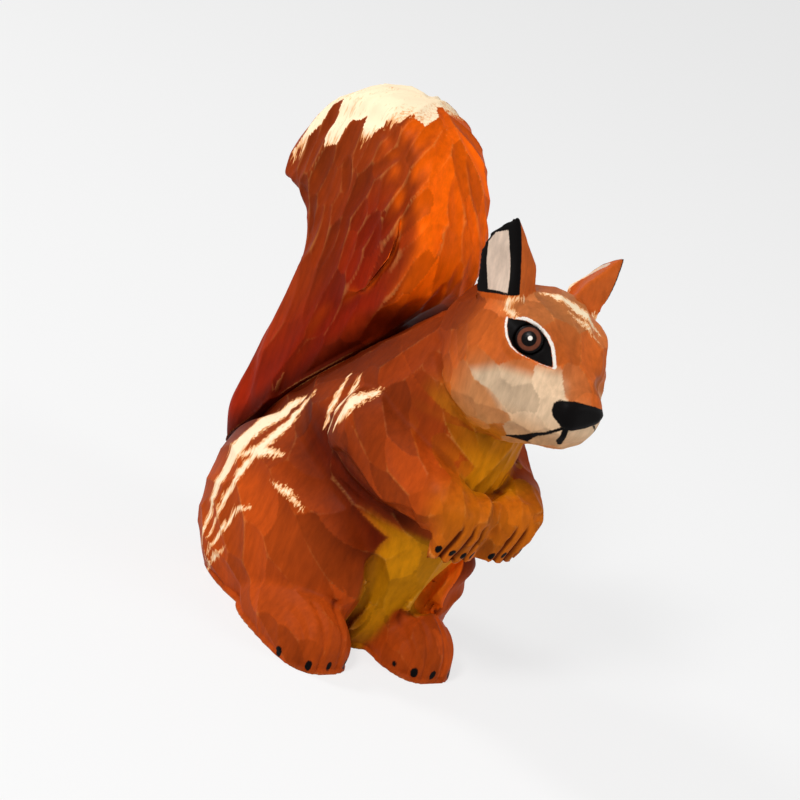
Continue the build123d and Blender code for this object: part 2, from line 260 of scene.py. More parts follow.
class Skin:
    """The outside of one or more glued blocks, carved and painted as one surface."""

    def __init__(self, name: str, blocks: Sequence[bpy.types.Object], voxel: float) -> None:
        """Wraps the blocks in one even mesh.

        Args:
            name: name of the working mesh.
            blocks: CAD node objects to wrap.
            voxel: edge length of the even mesh in millimetres.
        """
        self.mesh = self._wrap(name, blocks, voxel)
        count = len(self.mesh.vertices)
        self.place = self._read("co", count) / MM
        ends = np.empty(len(self.mesh.edges) * 2, np.int32)
        self.mesh.edges.foreach_get("vertices", ends)
        self.ends = ends.reshape(-1, 2)
        self.degree = np.maximum(np.bincount(self.ends.ravel(), minlength=count), 1)
        self.normal = self._read("normal", count)
        self.cut = np.zeros(count)
        self.owner = np.full(count, -1)
        self.covered = np.zeros(count, bool)
        self.firm = np.ones(count)
        self.centres: list[np.ndarray] = []
        self.lift = np.zeros(count)
        self.tree = self._grow_tree(self.place)

    @staticmethod
    def _wrap(name: str, blocks: Sequence[bpy.types.Object], voxel: float) -> bpy.types.Mesh:
        """One closed mesh round the blocks, without what lies inside it."""
        form = bmesh.new()
        for block in blocks:
            form.from_mesh(block.data)
        bmesh.ops.remove_doubles(form, verts=form.verts, dist=1e-6)
        rough = bpy.data.meshes.new(name)
        form.to_mesh(rough)
        form.free()
        holder = bpy.data.objects.new(name, rough)
        bpy.context.scene.collection.objects.link(holder)
        remesh = holder.modifiers.new("even", "REMESH")
        remesh.mode = "VOXEL"
        remesh.voxel_size = voxel * MM
        graph = bpy.context.evaluated_depsgraph_get()
        even = bpy.data.meshes.new_from_object(holder.evaluated_get(graph))
        bpy.data.objects.remove(holder)
        form = bmesh.new()
        form.from_mesh(even)
        form.verts.ensure_lookup_table()
        seen: set[int] = set()
        shells: list[list[bmesh.types.BMVert]] = []
        for start in form.verts:
            if start.index in seen:
                continue
            shell, front = [], [start]
            seen.add(start.index)
            while front:
                vert = front.pop()
                shell.append(vert)
                for edge in vert.link_edges:
                    other = edge.other_vert(vert)
                    if other.index not in seen:
                        seen.add(other.index)
                        front.append(other)
            shells.append(shell)
        shells.sort(key=len)
        for shell in shells[:-1]:
            bmesh.ops.delete(form, geom=shell, context="VERTS")
        form.to_mesh(even)
        form.free()
        return even

    @staticmethod
    def _grow_tree(places: np.ndarray) -> KDTree:
        """A search tree over rows of places."""
        tree = KDTree(len(places))
        for index, place in enumerate(places):
            tree.insert(place, index)
        tree.balance()
        return tree

    def _read(self, what: str, count: int) -> np.ndarray:
        """A three-part property of every vertex."""
        values = np.empty(count * 3, np.float32)
        self.mesh.vertices.foreach_get(what, values)
        return values.reshape(-1, 3).astype(float)

    def _write(self) -> None:
        """Puts the places back into the mesh and reads the normals again."""
        self.mesh.vertices.foreach_set("co", (self.place * MM).astype(np.float32).ravel())
        self.mesh.update()
        self.normal = self._read("normal", len(self.place))

    def blur(self, values: np.ndarray, rounds: int) -> np.ndarray:
        """Values averaged with their neighbours' for some rounds."""
        count = len(self.place)
        first, second = self.ends[:, 0], self.ends[:, 1]
        result = values.reshape(count, -1).astype(float)
        for _ in range(rounds):
            total = np.empty_like(result)
            for column in range(result.shape[1]):
                line = result[:, column]
                total[:, column] = np.bincount(first, line[second], count) + np.bincount(second, line[first], count)
            result = 0.5 * result + 0.5 * total / self.degree[:, None]
        return result.reshape(values.shape)

    def soften(self, rounds: int) -> None:
        """Rounds the valleys between the forms, where the surface isn't held firm."""
        soft = self.blur(self.place, rounds)
        self.place += (soft - self.place) * self.firm[:, None]
        self.settle()

    def settle(self) -> None:
        """Makes moved places the new surface."""
        self._write()
        self.tree = self._grow_tree(self.place)

    def carve(self, chosen: np.ndarray, gouge: Gouge, ways: np.ndarray, order: np.ndarray,
              draws: np.random.Generator) -> None:
        """Covers a region with shallow cuts.

        Args:
            chosen: which vertices the cuts start from.
            gouge: the kind of cut.
            ways: the direction of the cut at every vertex.
            order: sorting key; the cuts are made from its lowest value up.
            draws: source of the small differences between cuts.
        """
        starts = np.flatnonzero(chosen)
        for start in starts[np.argsort(order[starts])]:
            if self.covered[start] or self.firm[start] < 0.3:
                continue
            centre, face = self.place[start], self.normal[start]
            along = ways[start] - face * (ways[start] @ face)
            along = along / max(np.linalg.norm(along), 1e-9)
            across = np.cross(face, along)
            turn = draws.normal(0.0, gouge.wander)
            along, across = (along * math.cos(turn) + across * math.sin(turn),
                             across * math.cos(turn) - along * math.sin(turn))
            length = gouge.half_length * (1.0 + gouge.spread * draws.uniform(-1.0, 1.0))
            width = gouge.half_width * (1.0 + gouge.spread * draws.uniform(-1.0, 1.0))
            depth = gouge.depth * (1.0 + gouge.spread * draws.uniform(-1.0, 1.0))
            lean = gouge.lean * draws.uniform(-1.0, 1.0)
            near = np.array([hit[1] for hit in self.tree.find_range(centre, 1.15 * length)])
            step = self.place[near] - centre
            beside = step @ across / width
            bowl = (step @ along / length) ** 2 + beside ** 2 - 1.0
            depths = depth * (bowl + lean * beside) * self.firm[near]
            facing = self.normal[near] @ face > 0.2
            self.covered[near[facing & (bowl < gouge.cover)]] = True
            taken = (depths < self.cut[near]) & facing
            self.cut[near[taken]] = depths[taken]
            self.owner[near[taken]] = len(self.centres)
            self.centres.append(centre)

    def apply_cuts(self) -> None:
        """Moves the surface in by the cuts and in or out by the modelled details."""
        missed = self.owner < 0
        self.cut[missed] = self.blur(self.cut, 20)[missed]
        self.ridge = self.cut - self.blur(self.cut, 12)
        depths = self.blur(self.cut - 0.45 * self.blur(self.cut, 30) + self.lift, 1)
        self.place += self.normal * (depths * self.firm)[:, None]
        self.settle()
        broad = self.blur(self.place, 60)
        self.crease = np.einsum("ij,ij->i", broad - self.place, self.normal)
        self.ridge *= smoothstep(1.2, 0.3, self.crease)

    def cell_centres(self) -> np.ndarray:
        """The middle of the cut that each vertex lies in, or its own place."""
        centres = np.vstack(self.centres + [np.zeros(3)])
        return np.where((self.owner >= 0)[:, None], centres[self.owner], self.place)

    def cell_draw(self, draws: np.random.Generator) -> np.ndarray:
        """One random number from 0 to 1 for every cut, read at every vertex."""
        return draws.random(len(self.centres) + 1)[self.owner]


@dataclass
class Coat:
    """The paint on a skin: colours, painted highlights and the outlines of crisp painted marks."""

    colour: np.ndarray
    ridge: np.ndarray
    painted_light: np.ndarray
    # share of painted highlight at each vertex: pale streaks of hard light
    ink: np.ndarray
    lid: np.ndarray

    @classmethod
    def ground(cls, skin: Skin, pigment: Pigment) -> Coat:
        """A first coat of one pigment."""
        count = len(skin.place)
        far = np.full(count, OFF_MARK)
        return cls(np.tile(pigment.linear(), (count, 1)), skin.ridge.copy(), np.zeros(count), far.copy(), far.copy())

    def brush(self, pigment: Pigment, mask: np.ndarray) -> None:
        """Lays a pigment over the coat where the mask is above 0."""
        self.colour += (pigment.linear() - self.colour) * np.clip(mask, 0.0, 1.0)[:, None]

    def mark(self, distance: np.ndarray, where: np.ndarray | bool = True) -> None:
        """Adds a black mark by its signed distance, only where it is wanted."""
        self.ink = np.minimum(self.ink, np.where(where, distance, OFF_MARK))

    def painted_highlight(self, distance: np.ndarray, where: np.ndarray) -> None:
        """Adds a painted highlight, a pale streak of hard light, by its signed distance, only where it is wanted."""
        distance = np.where(where, distance, OFF_MARK)
        self.painted_light = np.maximum(self.painted_light, np.clip(0.5 - 0.2 * distance + 0.15 * self.ridge, 0.0, 1.0))

    def store(self, mesh: bpy.types.Mesh, nearest: np.ndarray) -> None:
        """Writes the coat to a mesh.

        Args:
            mesh: mesh of one piece.
            nearest: for each of its vertices, the vertex of the skin it takes the paint from.
        """
        colours = np.ones((len(nearest), 4), np.float32)
        colours[:, :3] = self.colour[nearest]
        layer = mesh.attributes.new("paint", "FLOAT_COLOR", "POINT")
        layer.data.foreach_set("color", colours.ravel())
        for name, values in (("ridge", self.ridge), ("painted_light", self.painted_light), ("ink", self.ink), ("lid", self.lid)):
            layer = mesh.attributes.new(name, "FLOAT", "POINT")
            layer.data.foreach_set("value", values[nearest].astype(np.float32))


class Nodes:
    """A short hand for laying out the nodes of a material or a world."""

    def __init__(self, owner: bpy.types.Material | bpy.types.World, output: str = "ShaderNodeOutputMaterial") -> None:
        """Starts with only the output."""
        self.owner = owner
        owner.use_nodes = True
        self.tree = owner.node_tree
        self.tree.nodes.clear()
        self.output = self.add(output)

    @classmethod
    def material(cls, name: str) -> Nodes:
        """The nodes of a new material."""
        return cls(bpy.data.materials.new(name))

    def add(self, kind: str, **settings: object) -> bpy.types.Node:
        """A new node with its settings."""
        node = self.tree.nodes.new(kind)
        for name, value in settings.items():
            setattr(node, name, value)
        return node

    def join(self, source: Socket, target: Socket) -> None:
        """Links two sockets."""
        self.tree.links.new(source, target)

    def feed(self, target: Socket, value: object) -> None:
        """Links a socket, or sets its value."""
        if isinstance(value, Socket):
            self.join(value, target)
        else:
            target.default_value = value

    def attribute(self, name: str) -> bpy.types.Node:
        """A reader of a mesh attribute."""
        return self.add("ShaderNodeAttribute", attribute_name=name)

    def maths(self, operation: str, first: object, second: object = 0.0) -> Socket:
        """The result of a sum on one or two values."""
        node = self.add("ShaderNodeMath", operation=operation)
        self.feed(node.inputs[0], first)
        self.feed(node.inputs[1], second)
        return node.outputs[0]

    def sway(self, noise: Socket, start: float, end: float) -> Socket:
        """The middle range of a noise mapped to another range."""
        return self.span(noise, 0.3, 0.7, start, end)

    def span(self, value: Socket, low: float, high: float, start: float, end: float) -> Socket:
        """A value mapped from one range to another, held at the ends."""
        node = self.add("ShaderNodeMapRange")
        self.join(value, node.inputs["Value"])
        for name, limit in (("From Min", low), ("From Max", high), ("To Min", start), ("To Max", end)):
            node.inputs[name].default_value = limit
        return node.outputs["Result"]

    def mix(self, share: object, first: object, second: object, blend: str = "MIX") -> Socket:
        """Two colours mixed by a share."""
        node = self.add("ShaderNodeMix", data_type="RGBA", blend_type=blend)
        self.feed(node.inputs["Factor"], share)
        self.feed(node.inputs[6], first)
        self.feed(node.inputs[7], second)
        return node.outputs[2]

    def bump(self, shader: bpy.types.Node, height: Socket, strength: float, distance: float) -> None:
        """Roughens a shader by a height pattern, with its distance in millimetres."""
        bump = self.add("ShaderNodeBump")
        bump.inputs["Strength"].default_value = strength
        bump.inputs["Distance"].default_value = distance * MM
        self.join(height, bump.inputs["Height"])
        self.join(bump.outputs["Normal"], shader.inputs["Normal"])

    def surface(self, shader: bpy.types.Node) -> None:
        """Gives the output its shader."""
        self.join(shader.outputs[0], self.output.inputs["Surface"])

    def seen(self) -> Socket:
        """1 for what the camera sees, also in gloss and through glass, and 0 for what only gives light."""
        rays = self.add("ShaderNodeLightPath")
        found = rays.outputs["Is Camera Ray"]
        for name in ("Is Glossy Ray", "Is Transmission Ray"):
            found = self.maths("MAXIMUM", found, rays.outputs[name])
        return found

    def blend(self, share: Socket, first: bpy.types.Node, second: bpy.types.Node) -> None:
        """Gives the output two shaders, mixed by a share."""
        both = self.add("ShaderNodeMixShader")
        self.join(share, both.inputs[0])
        self.join(first.outputs[0], both.inputs[1])
        self.join(second.outputs[0], both.inputs[2])
        self.surface(both)

    def noise(self, scale: Point, detail: float, rough: float) -> Socket:
        """A soft random pattern on the object's own coordinates, with its scale each way per metre."""
        place = self.add("ShaderNodeTexCoord")
        mapping = self.add("ShaderNodeMapping")
        mapping.inputs["Scale"].default_value = scale
        pattern = self.add("ShaderNodeTexNoise")
        pattern.inputs["Scale"].default_value = 1.0
        pattern.inputs["Detail"].default_value = detail
        pattern.inputs["Roughness"].default_value = rough
        self.join(place.outputs["Object"], mapping.inputs["Vector"])
        self.join(mapping.outputs["Vector"], pattern.inputs["Vector"])
        return pattern.outputs["Fac"]


@dataclass(frozen=True)
class PaintFinish:
    """Brushed paint under a satin lacquer, paler on the ridges between the cuts, partly as thinner paint and partly as
    painted highlight, and with pale streaks of painted highlight.
    """

    name: str = "painted_wood"
    roughness: float = 0.5
    brush_bump: float = 0.16
    grain_scale: Point = (420.0, 420.0, 90.0)
    hatch_scale: Point = (1100.0, 1100.0, 150.0)
    cloud_scale: Point = (70.0, 70.0, 70.0)
    fine_scale: Point = (1900.0, 1900.0, 700.0)
    # screened over the cut ridges: partly thinner paint, partly painted highlight
    ridge_light: tuple[float, float, float, float] = (0.36, 0.17, 0.05, 1.0)
    specular: float = 0.04
    bump_depth: float = 0.4
    edge: float = 0.14

    def material(self) -> bpy.types.Material:
        """The finish as a material that reads a coat's attributes."""
        n = Nodes.material(self.name)
        shader = n.add("ShaderNodeBsdfPrincipled")
        streaks = n.noise(self.grain_scale, 4.0, 0.6)
        clouds = n.noise(self.cloud_scale, 3.0, 0.55)
        fine = n.noise(self.fine_scale, 2.0, 0.6)
        base = n.attribute("paint").outputs["Color"]
        tone = n.span(streaks, 0.3, 0.72, 0.80, 1.10)
        tone = n.maths("MULTIPLY", tone, n.sway(clouds, 0.88, 1.08))
        shade = n.add("ShaderNodeCombineColor")
        for socket in shade.inputs:
            n.join(tone, socket)
        colour = n.mix(1.0, base, shade.outputs[0], "MULTIPLY")
        # Paler on the ridges between the cuts: partly thinner paint, partly painted highlight.
        painted_highlight = n.attribute("ridge").outputs["Fac"]
        painted_highlight = n.maths("ADD", painted_highlight, n.sway(streaks, -0.10, 0.10))
        painted_highlight = n.span(painted_highlight, 0.15, 0.60, 0.0, 0.42)
        lighter = n.mix(1.0, colour, self.ridge_light, "SCREEN")
        colour = n.mix(painted_highlight, colour, lighter)
        # Pale streaks of painted highlight, with broken edges.
        hatch = n.noise(self.hatch_scale, 2.0, 0.6)
        painted_light = n.attribute("painted_light").outputs["Fac"]
        painted_light = n.maths("ADD", painted_light, n.sway(streaks, -0.16, 0.16))
        painted_light = n.maths("ADD", painted_light, n.sway(hatch, -0.22, 0.22))
        # Colour of the painted highlight streaks, tan to near white.
        wood = n.mix(n.span(painted_light, 0.5, 0.85, 0.0, 1.0), HIGHLIGHT_TAN.rgba(), HIGHLIGHT_CREAM.rgba())
        colour = n.mix(n.span(painted_light, 0.43, 0.55, 0.0, 1.0), colour, wood)
        wobble = n.sway(fine, -0.12, 0.12)
        for name, pigment in (("lid", LID), ("ink", INK)):
            edge = n.maths("ADD", n.attribute(name).outputs["Fac"], wobble)
            colour = n.mix(n.span(edge, -self.edge, self.edge, 1.0, 0.0), colour, pigment.rgba())
        n.join(colour, shader.inputs["Base Color"])
        gloss = n.maths("ADD", n.sway(clouds, -0.06, 0.08), self.roughness)
        n.join(gloss, shader.inputs["Roughness"])
        shader.inputs["Specular IOR Level"].default_value = self.specular
        height = n.maths("ADD", streaks, n.maths("MULTIPLY", fine, 0.4))
        n.bump(shader, height, self.brush_bump, self.bump_depth)
        n.surface(shader)
        return n.owner


@dataclass(frozen=True)
class WoodFinish:
    """Bare wood with its grain, on glue faces and dowels."""

    name: str = "painted_light_wood"
    grain_scale: Point = (380.0, 380.0, 45.0)
    grain_bump: float = 0.2
    bump_depth: float = 0.2

    def material(self) -> bpy.types.Material:
        """The finish as a material."""
        n = Nodes.material(self.name)
        shader = n.add("ShaderNodeBsdfPrincipled")
        grain = n.noise(self.grain_scale, 5.0, 0.62)
        colour = n.mix(n.sway(grain, 0.0, 1.0), PALE_GRAIN.rgba(), DARK_GRAIN.rgba())
        n.join(colour, shader.inputs["Base Color"])
        n.join(n.sway(grain, 0.55, 0.72), shader.inputs["Roughness"])
        n.bump(shader, grain, self.grain_bump, self.bump_depth)
        n.surface(shader)
        return n.owner


@dataclass(frozen=True)
class EyeFinish:
    """A glossy painted eye: pupil, brown iris, dark ring and a white light spot."""

    name: str
    centre: Point
    gaze: Point
    glint: Point
    pupil: float = 2.9
    iris: float = 4.6
    fibre_scale: Point = (900.0, 900.0, 900.0)
    specular: float = 0.06

    def material(self) -> bpy.types.Material:
        """The finish as a material round the eye's own axis."""
        n = Nodes.material(self.name)
        shader = n.add("ShaderNodeBsdfPrincipled")
        place = n.add("ShaderNodeTexCoord").outputs["Object"]
        radius = n.maths("MULTIPLY", self._reach(n, place, self.centre), 1.0 / MM)
        fibres = n.noise(self.fibre_scale, 3.0, 0.6)
        brown = n.mix(n.sway(fibres, 0.0, 0.6), IRIS.rgba(), DARK_IRIS.rgba())
        colour = n.mix(n.span(radius, self.pupil - 0.15, self.pupil + 0.15, 0.0, 1.0), INK.rgba(), brown)
        colour = n.mix(n.span(radius, self.iris - 0.4, self.iris, 0.0, 1.0), colour, INK.rgba())
        spark = n.maths("MULTIPLY", self._reach(n, place, self.glint), 1.0 / MM)
        colour = n.mix(n.span(spark, 0.75, 1.0, 1.0, 0.0), colour, LID.rgba())
        n.join(colour, shader.inputs["Base Color"])
        n.join(n.sway(fibres, 0.24, 0.32), shader.inputs["Roughness"])
        shader.inputs["Specular IOR Level"].default_value = self.specular
        n.surface(shader)
        return n.owner

    def _reach(self, n: Nodes, place: Socket, centre: Point) -> Socket:
        """Distance of a place from a line along the gaze through a point."""
        offset = n.add("ShaderNodeVectorMath", operation="SUBTRACT")
        n.join(place, offset.inputs[0])
        offset.inputs[1].default_value = centre
        around = n.add("ShaderNodeVectorMath", operation="CROSS_PRODUCT")
        n.join(offset.outputs[0], around.inputs[0])
        around.inputs[1].default_value = self.gaze
        reach = n.add("ShaderNodeVectorMath", operation="LENGTH")
        n.join(around.outputs[0], reach.inputs[0])
        return reach.outputs["Value"]


@dataclass
class Block:
    """A convex cutting block: the sides of planes that a piece keeps."""

    name: str
    faces: list[Plane]
    stock: float = 600.0

    def build(self) -> bpy.types.Object:
        """The block as an object, cut from a large cube by its planes."""
        form = bmesh.new()
        bmesh.ops.create_cube(form, size=self.stock * MM)
        for point, outward in self.faces:
            geometry = form.verts[:] + form.edges[:] + form.faces[:]
            bmesh.ops.bisect_plane(form, geom=geometry, dist=1e-7, plane_co=Vector(point * MM),
                                   plane_no=Vector(outward), clear_outer=True)
            rim = [edge for edge in form.edges if edge.is_boundary]
            if rim:
                bmesh.ops.holes_fill(form, edges=rim, sides=0)
        bmesh.ops.recalc_face_normals(form, faces=form.faces)
        mesh = bpy.data.meshes.new(self.name)
        form.to_mesh(mesh)
        form.free()
        block = bpy.data.objects.new(self.name, mesh)
        bpy.context.scene.collection.objects.link(block)
        return block


def divide(mesh: bpy.types.Mesh, block: bpy.types.Object, cut: Cut) -> bpy.types.Mesh:
    """Cuts a carved mesh with a block.

    Args:
        mesh: a closed mesh.
        block: the cutting block.
        cut: which side of the block is kept.

    Returns:
        A new closed mesh; faces made by the block carry the block's material.
    """
    holder = bpy.data.objects.new("work", mesh)
    bpy.context.scene.collection.objects.link(holder)
    step = holder.modifiers.new("saw", "BOOLEAN")
    step.operation = cut.value
    step.solver = "MANIFOLD"
    step.material_mode = "TRANSFER"
    step.object = block
    graph = bpy.context.evaluated_depsgraph_get()
    result = bpy.data.meshes.new_from_object(holder.evaluated_get(graph))
    bpy.data.objects.remove(holder)
    return result


class Piece:
    """A finished wooden piece that stands for a CAD node."""

    def __init__(self, node: Node, mesh: bpy.types.Mesh, slot: str) -> None:
        """Names the piece after its node and sets how it rides."""
        mesh.name = f"carved_{node.value}"
        self.item = bpy.data.objects.new(mesh.name, mesh)
        bpy.context.scene.collection.objects.link(self.item)
        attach(self.item, "root")
        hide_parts(node.value)
        LOG.info("%s: %d faces", mesh.name, len(mesh.polygons))


def dress_mesh(mesh: bpy.types.Mesh, skin: Skin, coat: Coat) -> None:
    """Smooths a piece's carved faces, keeps its glue faces flat and writes its paint."""
    count = len(mesh.vertices)
    places = np.empty(count * 3, np.float32)
    mesh.vertices.foreach_get("co", places)
    places = places.reshape(-1, 3) / MM
    nearest = np.array([skin.tree.find(place)[1] for place in places])
    mesh.polygons.foreach_set("use_smooth", np.ones(len(mesh.polygons), bool))
    form = bmesh.new()
    form.from_mesh(mesh)
    for edge in form.edges:
        sides = {face.material_index for face in edge.link_faces}
        edge.smooth = len(sides) < 2
    form.to_mesh(mesh)
    form.free()
    coat.store(mesh, nearest)


def node_regions(skin: Skin, nodes: Frame, names: Sequence[Node]) -> dict[Node, np.ndarray]:
    """Which block each vertex of a skin belongs to.

    Args:
        skin: the surface.
        nodes: the CAD nodes by name.
        names: the blocks wrapped by the skin.

    Returns:
        One mask for each block.
    """
    corners: list[Vector] = []
    triangles: list[tuple[int, ...]] = []
    owners: list[int] = []
    for number, name in enumerate(names):
        mesh = nodes[name.value].data
        first = len(corners)
        corners.extend(vert.co for vert in mesh.vertices)
        for face in mesh.polygons:
            triangles.append(tuple(first + index for index in face.vertices))
            owners.append(number)
    finder = BVHTree.FromPolygons(corners, triangles)
    found = np.array([owners[finder.find_nearest(Vector(place * MM))[2]] for place in skin.place])
    return {name: found == number for number, name in enumerate(names)}


@dataclass
class Body:
    """Trunk, head, limbs and ears, carved across their joints."""

    voxel: float = 0.7
    head_gouge: Gouge = Gouge(8.0, 11.0, 2.0)
    cheek_gouge: Gouge = Gouge(6.0, 9.0, 1.7)
    trunk_gouge: Gouge = Gouge(7.0, 23.0, 2.2)
    haunch_gouge: Gouge = Gouge(10.0, 28.0, 3.4, wander=0.3)
    arm_gouge: Gouge = Gouge(6.0, 26.0, 2.2)
    foot_gouge: Gouge = Gouge(6.5, 15.0, 1.6)
    blocks: tuple[Node, ...] = (Node.TRUNK, Node.HEAD, Node.RIGHT_HAUNCH, Node.LEFT_HAUNCH, Node.RIGHT_FOOT,
                                Node.LEFT_FOOT, Node.RIGHT_ARM, Node.LEFT_ARM, Node.RIGHT_EAR, Node.LEFT_EAR)
    haunch_behind: dict[Side, float] = field(default_factory=lambda: {Side.RIGHT: 41.0, Side.LEFT: 34.0})
    haunch_spot: tuple[float, float] = (22.0, 33.0)
    haunch_half: Point = (26.0, 51.0, 46.0)
    arm_line: Tube = (
        (21.8, -26.4, 90.0, 11.0), (27.7, -12.0, 91.5, 16.5), (26.0, 14.4, 85.5, 14.8), (19.3, 32.4, 82.5, 12.4))
    eye_corner_back: Point = (24.95, 34.3, 159.9)
    eye_corner_front: Point = (14.7, 55.5, 150.7)
    eye_middle: Point = (19.4, 43.5, 155.8)
    eye_turn: float = math.radians(55.0)
    eye_rise: float = math.radians(18.0)
    eye_radius: float = 5.25
    eye_outline: Outline = (
        (-12.6, 0.0), (-10.3, 1.4), (-8.6, 2.9), (-7.1, 4.0), (-5.0, 4.8), (-2.6, 5.4), (0.2, 5.7), (3.0, 5.5),
        (6.4, 4.4), (9.7, 2.2), (12.6, 0.0), (9.1, -2.2), (5.1, -4.0), (2.0, -5.3), (-0.5, -5.9), (-3.4, -6.0),
        (-7.1, -4.7), (-10.6, -2.3))
    brow: Tube = (
        (23.0, 31.0, 164.5, 0.0), (19.0, 44.0, 165.0, 0.0), (12.5, 54.0, 159.0, 0.0), (11.0, 57.0, 154.0, 0.0))
    jaw: Line = (
        (4.0, 136.0, 0.0), (6.4, 132.0, 0.0), (14.7, 123.5, 0.0), (25.2, 117.0, 0.0), (35.0, 113.5, 0.0))
    brow_form: tuple[float, float] = (2.4, 3.6)
    jaw_valley: tuple[float, float] = (1.4, 2.2)
    snout_form: tuple[float, float] = (2.4, 6.5)
    haunch_valley: tuple[float, float] = (2.6, 4.5)
    arm_valley: tuple[float, float] = (2.0, 4.0)
    finger_groove: tuple[float, float] = (1.8, 1.7)
    toe_groove: tuple[float, float] = (1.1, 1.9)
    eye_hollow: float = 1.3
    eye_seat: float = 1.8
    nose_rise: float = 0.9
    snout_hollow: Point = (11.5, 60.0, 147.0)
    trims: tuple[tuple[float, ...], ...] = (
        (27.0, 24.0, 98.5, 10.0, -3.2), (25.0, 15.0, 45.5, 8.0, 3.6), (26.0, 16.2, 29.0, 7.5, -2.8),
        (-42.0, -61.5, 9.0, 10.0, 2.4), (25.0, 33.8, 165.5, 7.0, -2.8), (25.5, 15.3, 167.0, 5.0, 3.0))
    # line of painted shade in the valley between haunch and arm, ahead and up
    dark_valley: Line = (
        (-30.0, 78.0, 0.0), (-24.7, 75.2, 0.0), (-11.6, 73.0, 0.0), (-2.1, 67.3, 0.0), (5.1, 60.2, 0.0),
        (8.8, 53.3, 0.0))
    # pale streaks of painted highlight on the haunches, each a line of points with their half widths
    haunch_highlights: tuple[Line, ...] = (
        ((-64.0, 9.7, 0.6), (-65.6, 24.8, 1.8), (-67.0, 38.6, 3.0), (-66.0, 53.0, 4.2), (-64.0, 67.1, 5.0),
         (-58.0, 79.0, 2.6), (-53.0, 85.0, 0.3)),
        ((-60.0, 15.5, 0.4), (-57.5, 36.2, 1.5), (-54.3, 54.2, 2.2), (-52.1, 67.7, 2.8), (-50.0, 82.4, 1.8),
         (-46.6, 91.0, 0.2)),
        ((-60.4, 6.1, 0.4), (-51.4, 27.1, 1.4), (-48.1, 36.6, 1.4), (-40.0, 41.2, 0.2)),
        ((-36.4, 54.8, 0.4), (-27.8, 55.6, 1.5), (-16.6, 53.0, 0.2)),
        ((-61.0, 1.0, 0.4), (-53.0, 12.0, 1.4), (-46.7, 20.0, 0.2)),
        ((-60.0, 55.0, 1.4), (-52.0, 61.0, 3.0), (-40.0, 65.0, 0.5)))
    # pale streaks of painted highlight on the shoulders
    shoulder_highlights: tuple[Line, ...] = (
        ((-32.3, 105.0, 0.8), (-30.2, 94.6, 1.9), (-28.8, 82.7, 0.2)),
        ((-24.2, 108.0, 1.0), (-22.0, 99.2, 2.2), (-22.5, 82.0, 0.2)),
        ((-8.5, 109.0, 1.6), (-13.0, 101.5, 3.8), (-16.0, 88.0, 0.4)))
    # a hooked pale streak of painted highlight on each side of the brow
    brow_highlight_hook: Line = (
        (36.4, 161.6, 0.9), (32.2, 162.2, 1.6), (32.4, 165.8, 1.3), (35.0, 168.6, 0.6))
    # pale streaks of painted highlight across the top of the brow
    brow_highlights: tuple[Line, ...] = (
        ((-9.0, 29.5, 0.6), (-2.0, 34.5, 2.8), (4.0, 38.8, 3.2), (8.0, 42.0, 2.8), (12.5, 45.5, 0.8)),
        ((-3.0, 41.5, 0.4), (4.0, 45.5, 1.4), (10.0, 49.5, 0.4)))
    cheek_cream: Outline = (
        (35.5, 138.8), (38.8, 141.3), (41.2, 143.2), (46.4, 144.3), (51.3, 145.5), (55.6, 146.9), (58.1, 147.7),
        (60.4, 145.7), (63.5, 142.4), (72.0, 138.0), (72.0, 116.0), (53.0, 108.0), (50.0, 121.0), (47.0, 126.7),
        (43.0, 131.0), (38.5, 134.8))
    cheek_patch: Outline = (
        (36.0, 138.5), (38.8, 141.3), (41.2, 143.2), (46.4, 144.3), (51.3, 145.5), (55.6, 146.9), (58.1, 147.7),
        (60.4, 145.7), (63.5, 142.4), (72.0, 138.0), (72.0, 116.0), (47.0, 108.0), (43.0, 116.0), (37.5, 119.5),
        (32.5, 122.5), (30.0, 127.1), (31.0, 134.1))
    nose_outline: Outline = (
        (-12.8, 136.4), (-12.0, 134.2), (-9.4, 131.9), (-5.4, 131.5), (1.1, 133.3), (7.0, 135.9), (10.8, 138.7),
        (7.5, 141.3), (2.1, 142.3), (-4.8, 142.7), (-8.0, 142.5), (-11.2, 141.2), (-12.6, 139.0))
    mouth: Line = (
        (66.6, 131.8, 0.45), (64.4, 129.1, 0.45), (62.0, 127.0, 0.45), (58.4, 124.5, 0.55), (55.8, 122.4, 0.85),
        (52.6, 119.9, 1.25), (49.8, 118.9, 0.8), (47.0, 117.8, 0.3))
    far_lip: Line = ((4.5, 135.0, 0.45), (7.4, 133.4, 0.45), (9.4, 131.4, 0.45))
    philtrum: Line = (
        (-7.3, 131.2, 1.1), (-6.2, 128.1, 1.0), (-5.0, 125.6, 0.9), (-3.6, 124.3, 0.6))
    fingers: Line = (
        (5.0, 44.0, 65.0), (11.0, 45.0, 65.5), (17.0, 44.5, 66.5), (22.5, 42.0, 67.0))
    finger_grooves: tuple[float, ...] = (8.0, 14.0, 20.0)
    toes: dict[Side, Line] = field(default_factory=lambda: {
        Side.RIGHT: ((-50.0, 6.6, 2.6), (-44.0, 19.0, 3.2), (-34.5, 20.8, 3.4), (-25.5, 18.8, 3.2)),
        Side.LEFT: ((-2.1, 21.6, 3.7), (3.4, 28.8, 4.2), (12.0, 30.8, 3.8), (21.5, 29.0, 3.4))})
    toe_grooves: dict[Side, tuple[float, ...]] = field(default_factory=lambda: {
        Side.RIGHT: (-47.0, -39.5, -30.0), Side.LEFT: (0.8, 7.5, 16.5)})
    ear_root: Point = (19.0, 20.0, 158.0)
    ear_lean: float = math.radians(17.0)
    ear_rake: float = math.radians(7.0)
    ear_splay: float = math.radians(15.0)
    ear_heights: dict[Side, float] = field(default_factory=lambda: {Side.RIGHT: 42.0, Side.LEFT: 34.0})
    ear_levels: tuple[float, ...] = (0.0, 11.8, 20.2, 31.1, 37.8, 42.0)
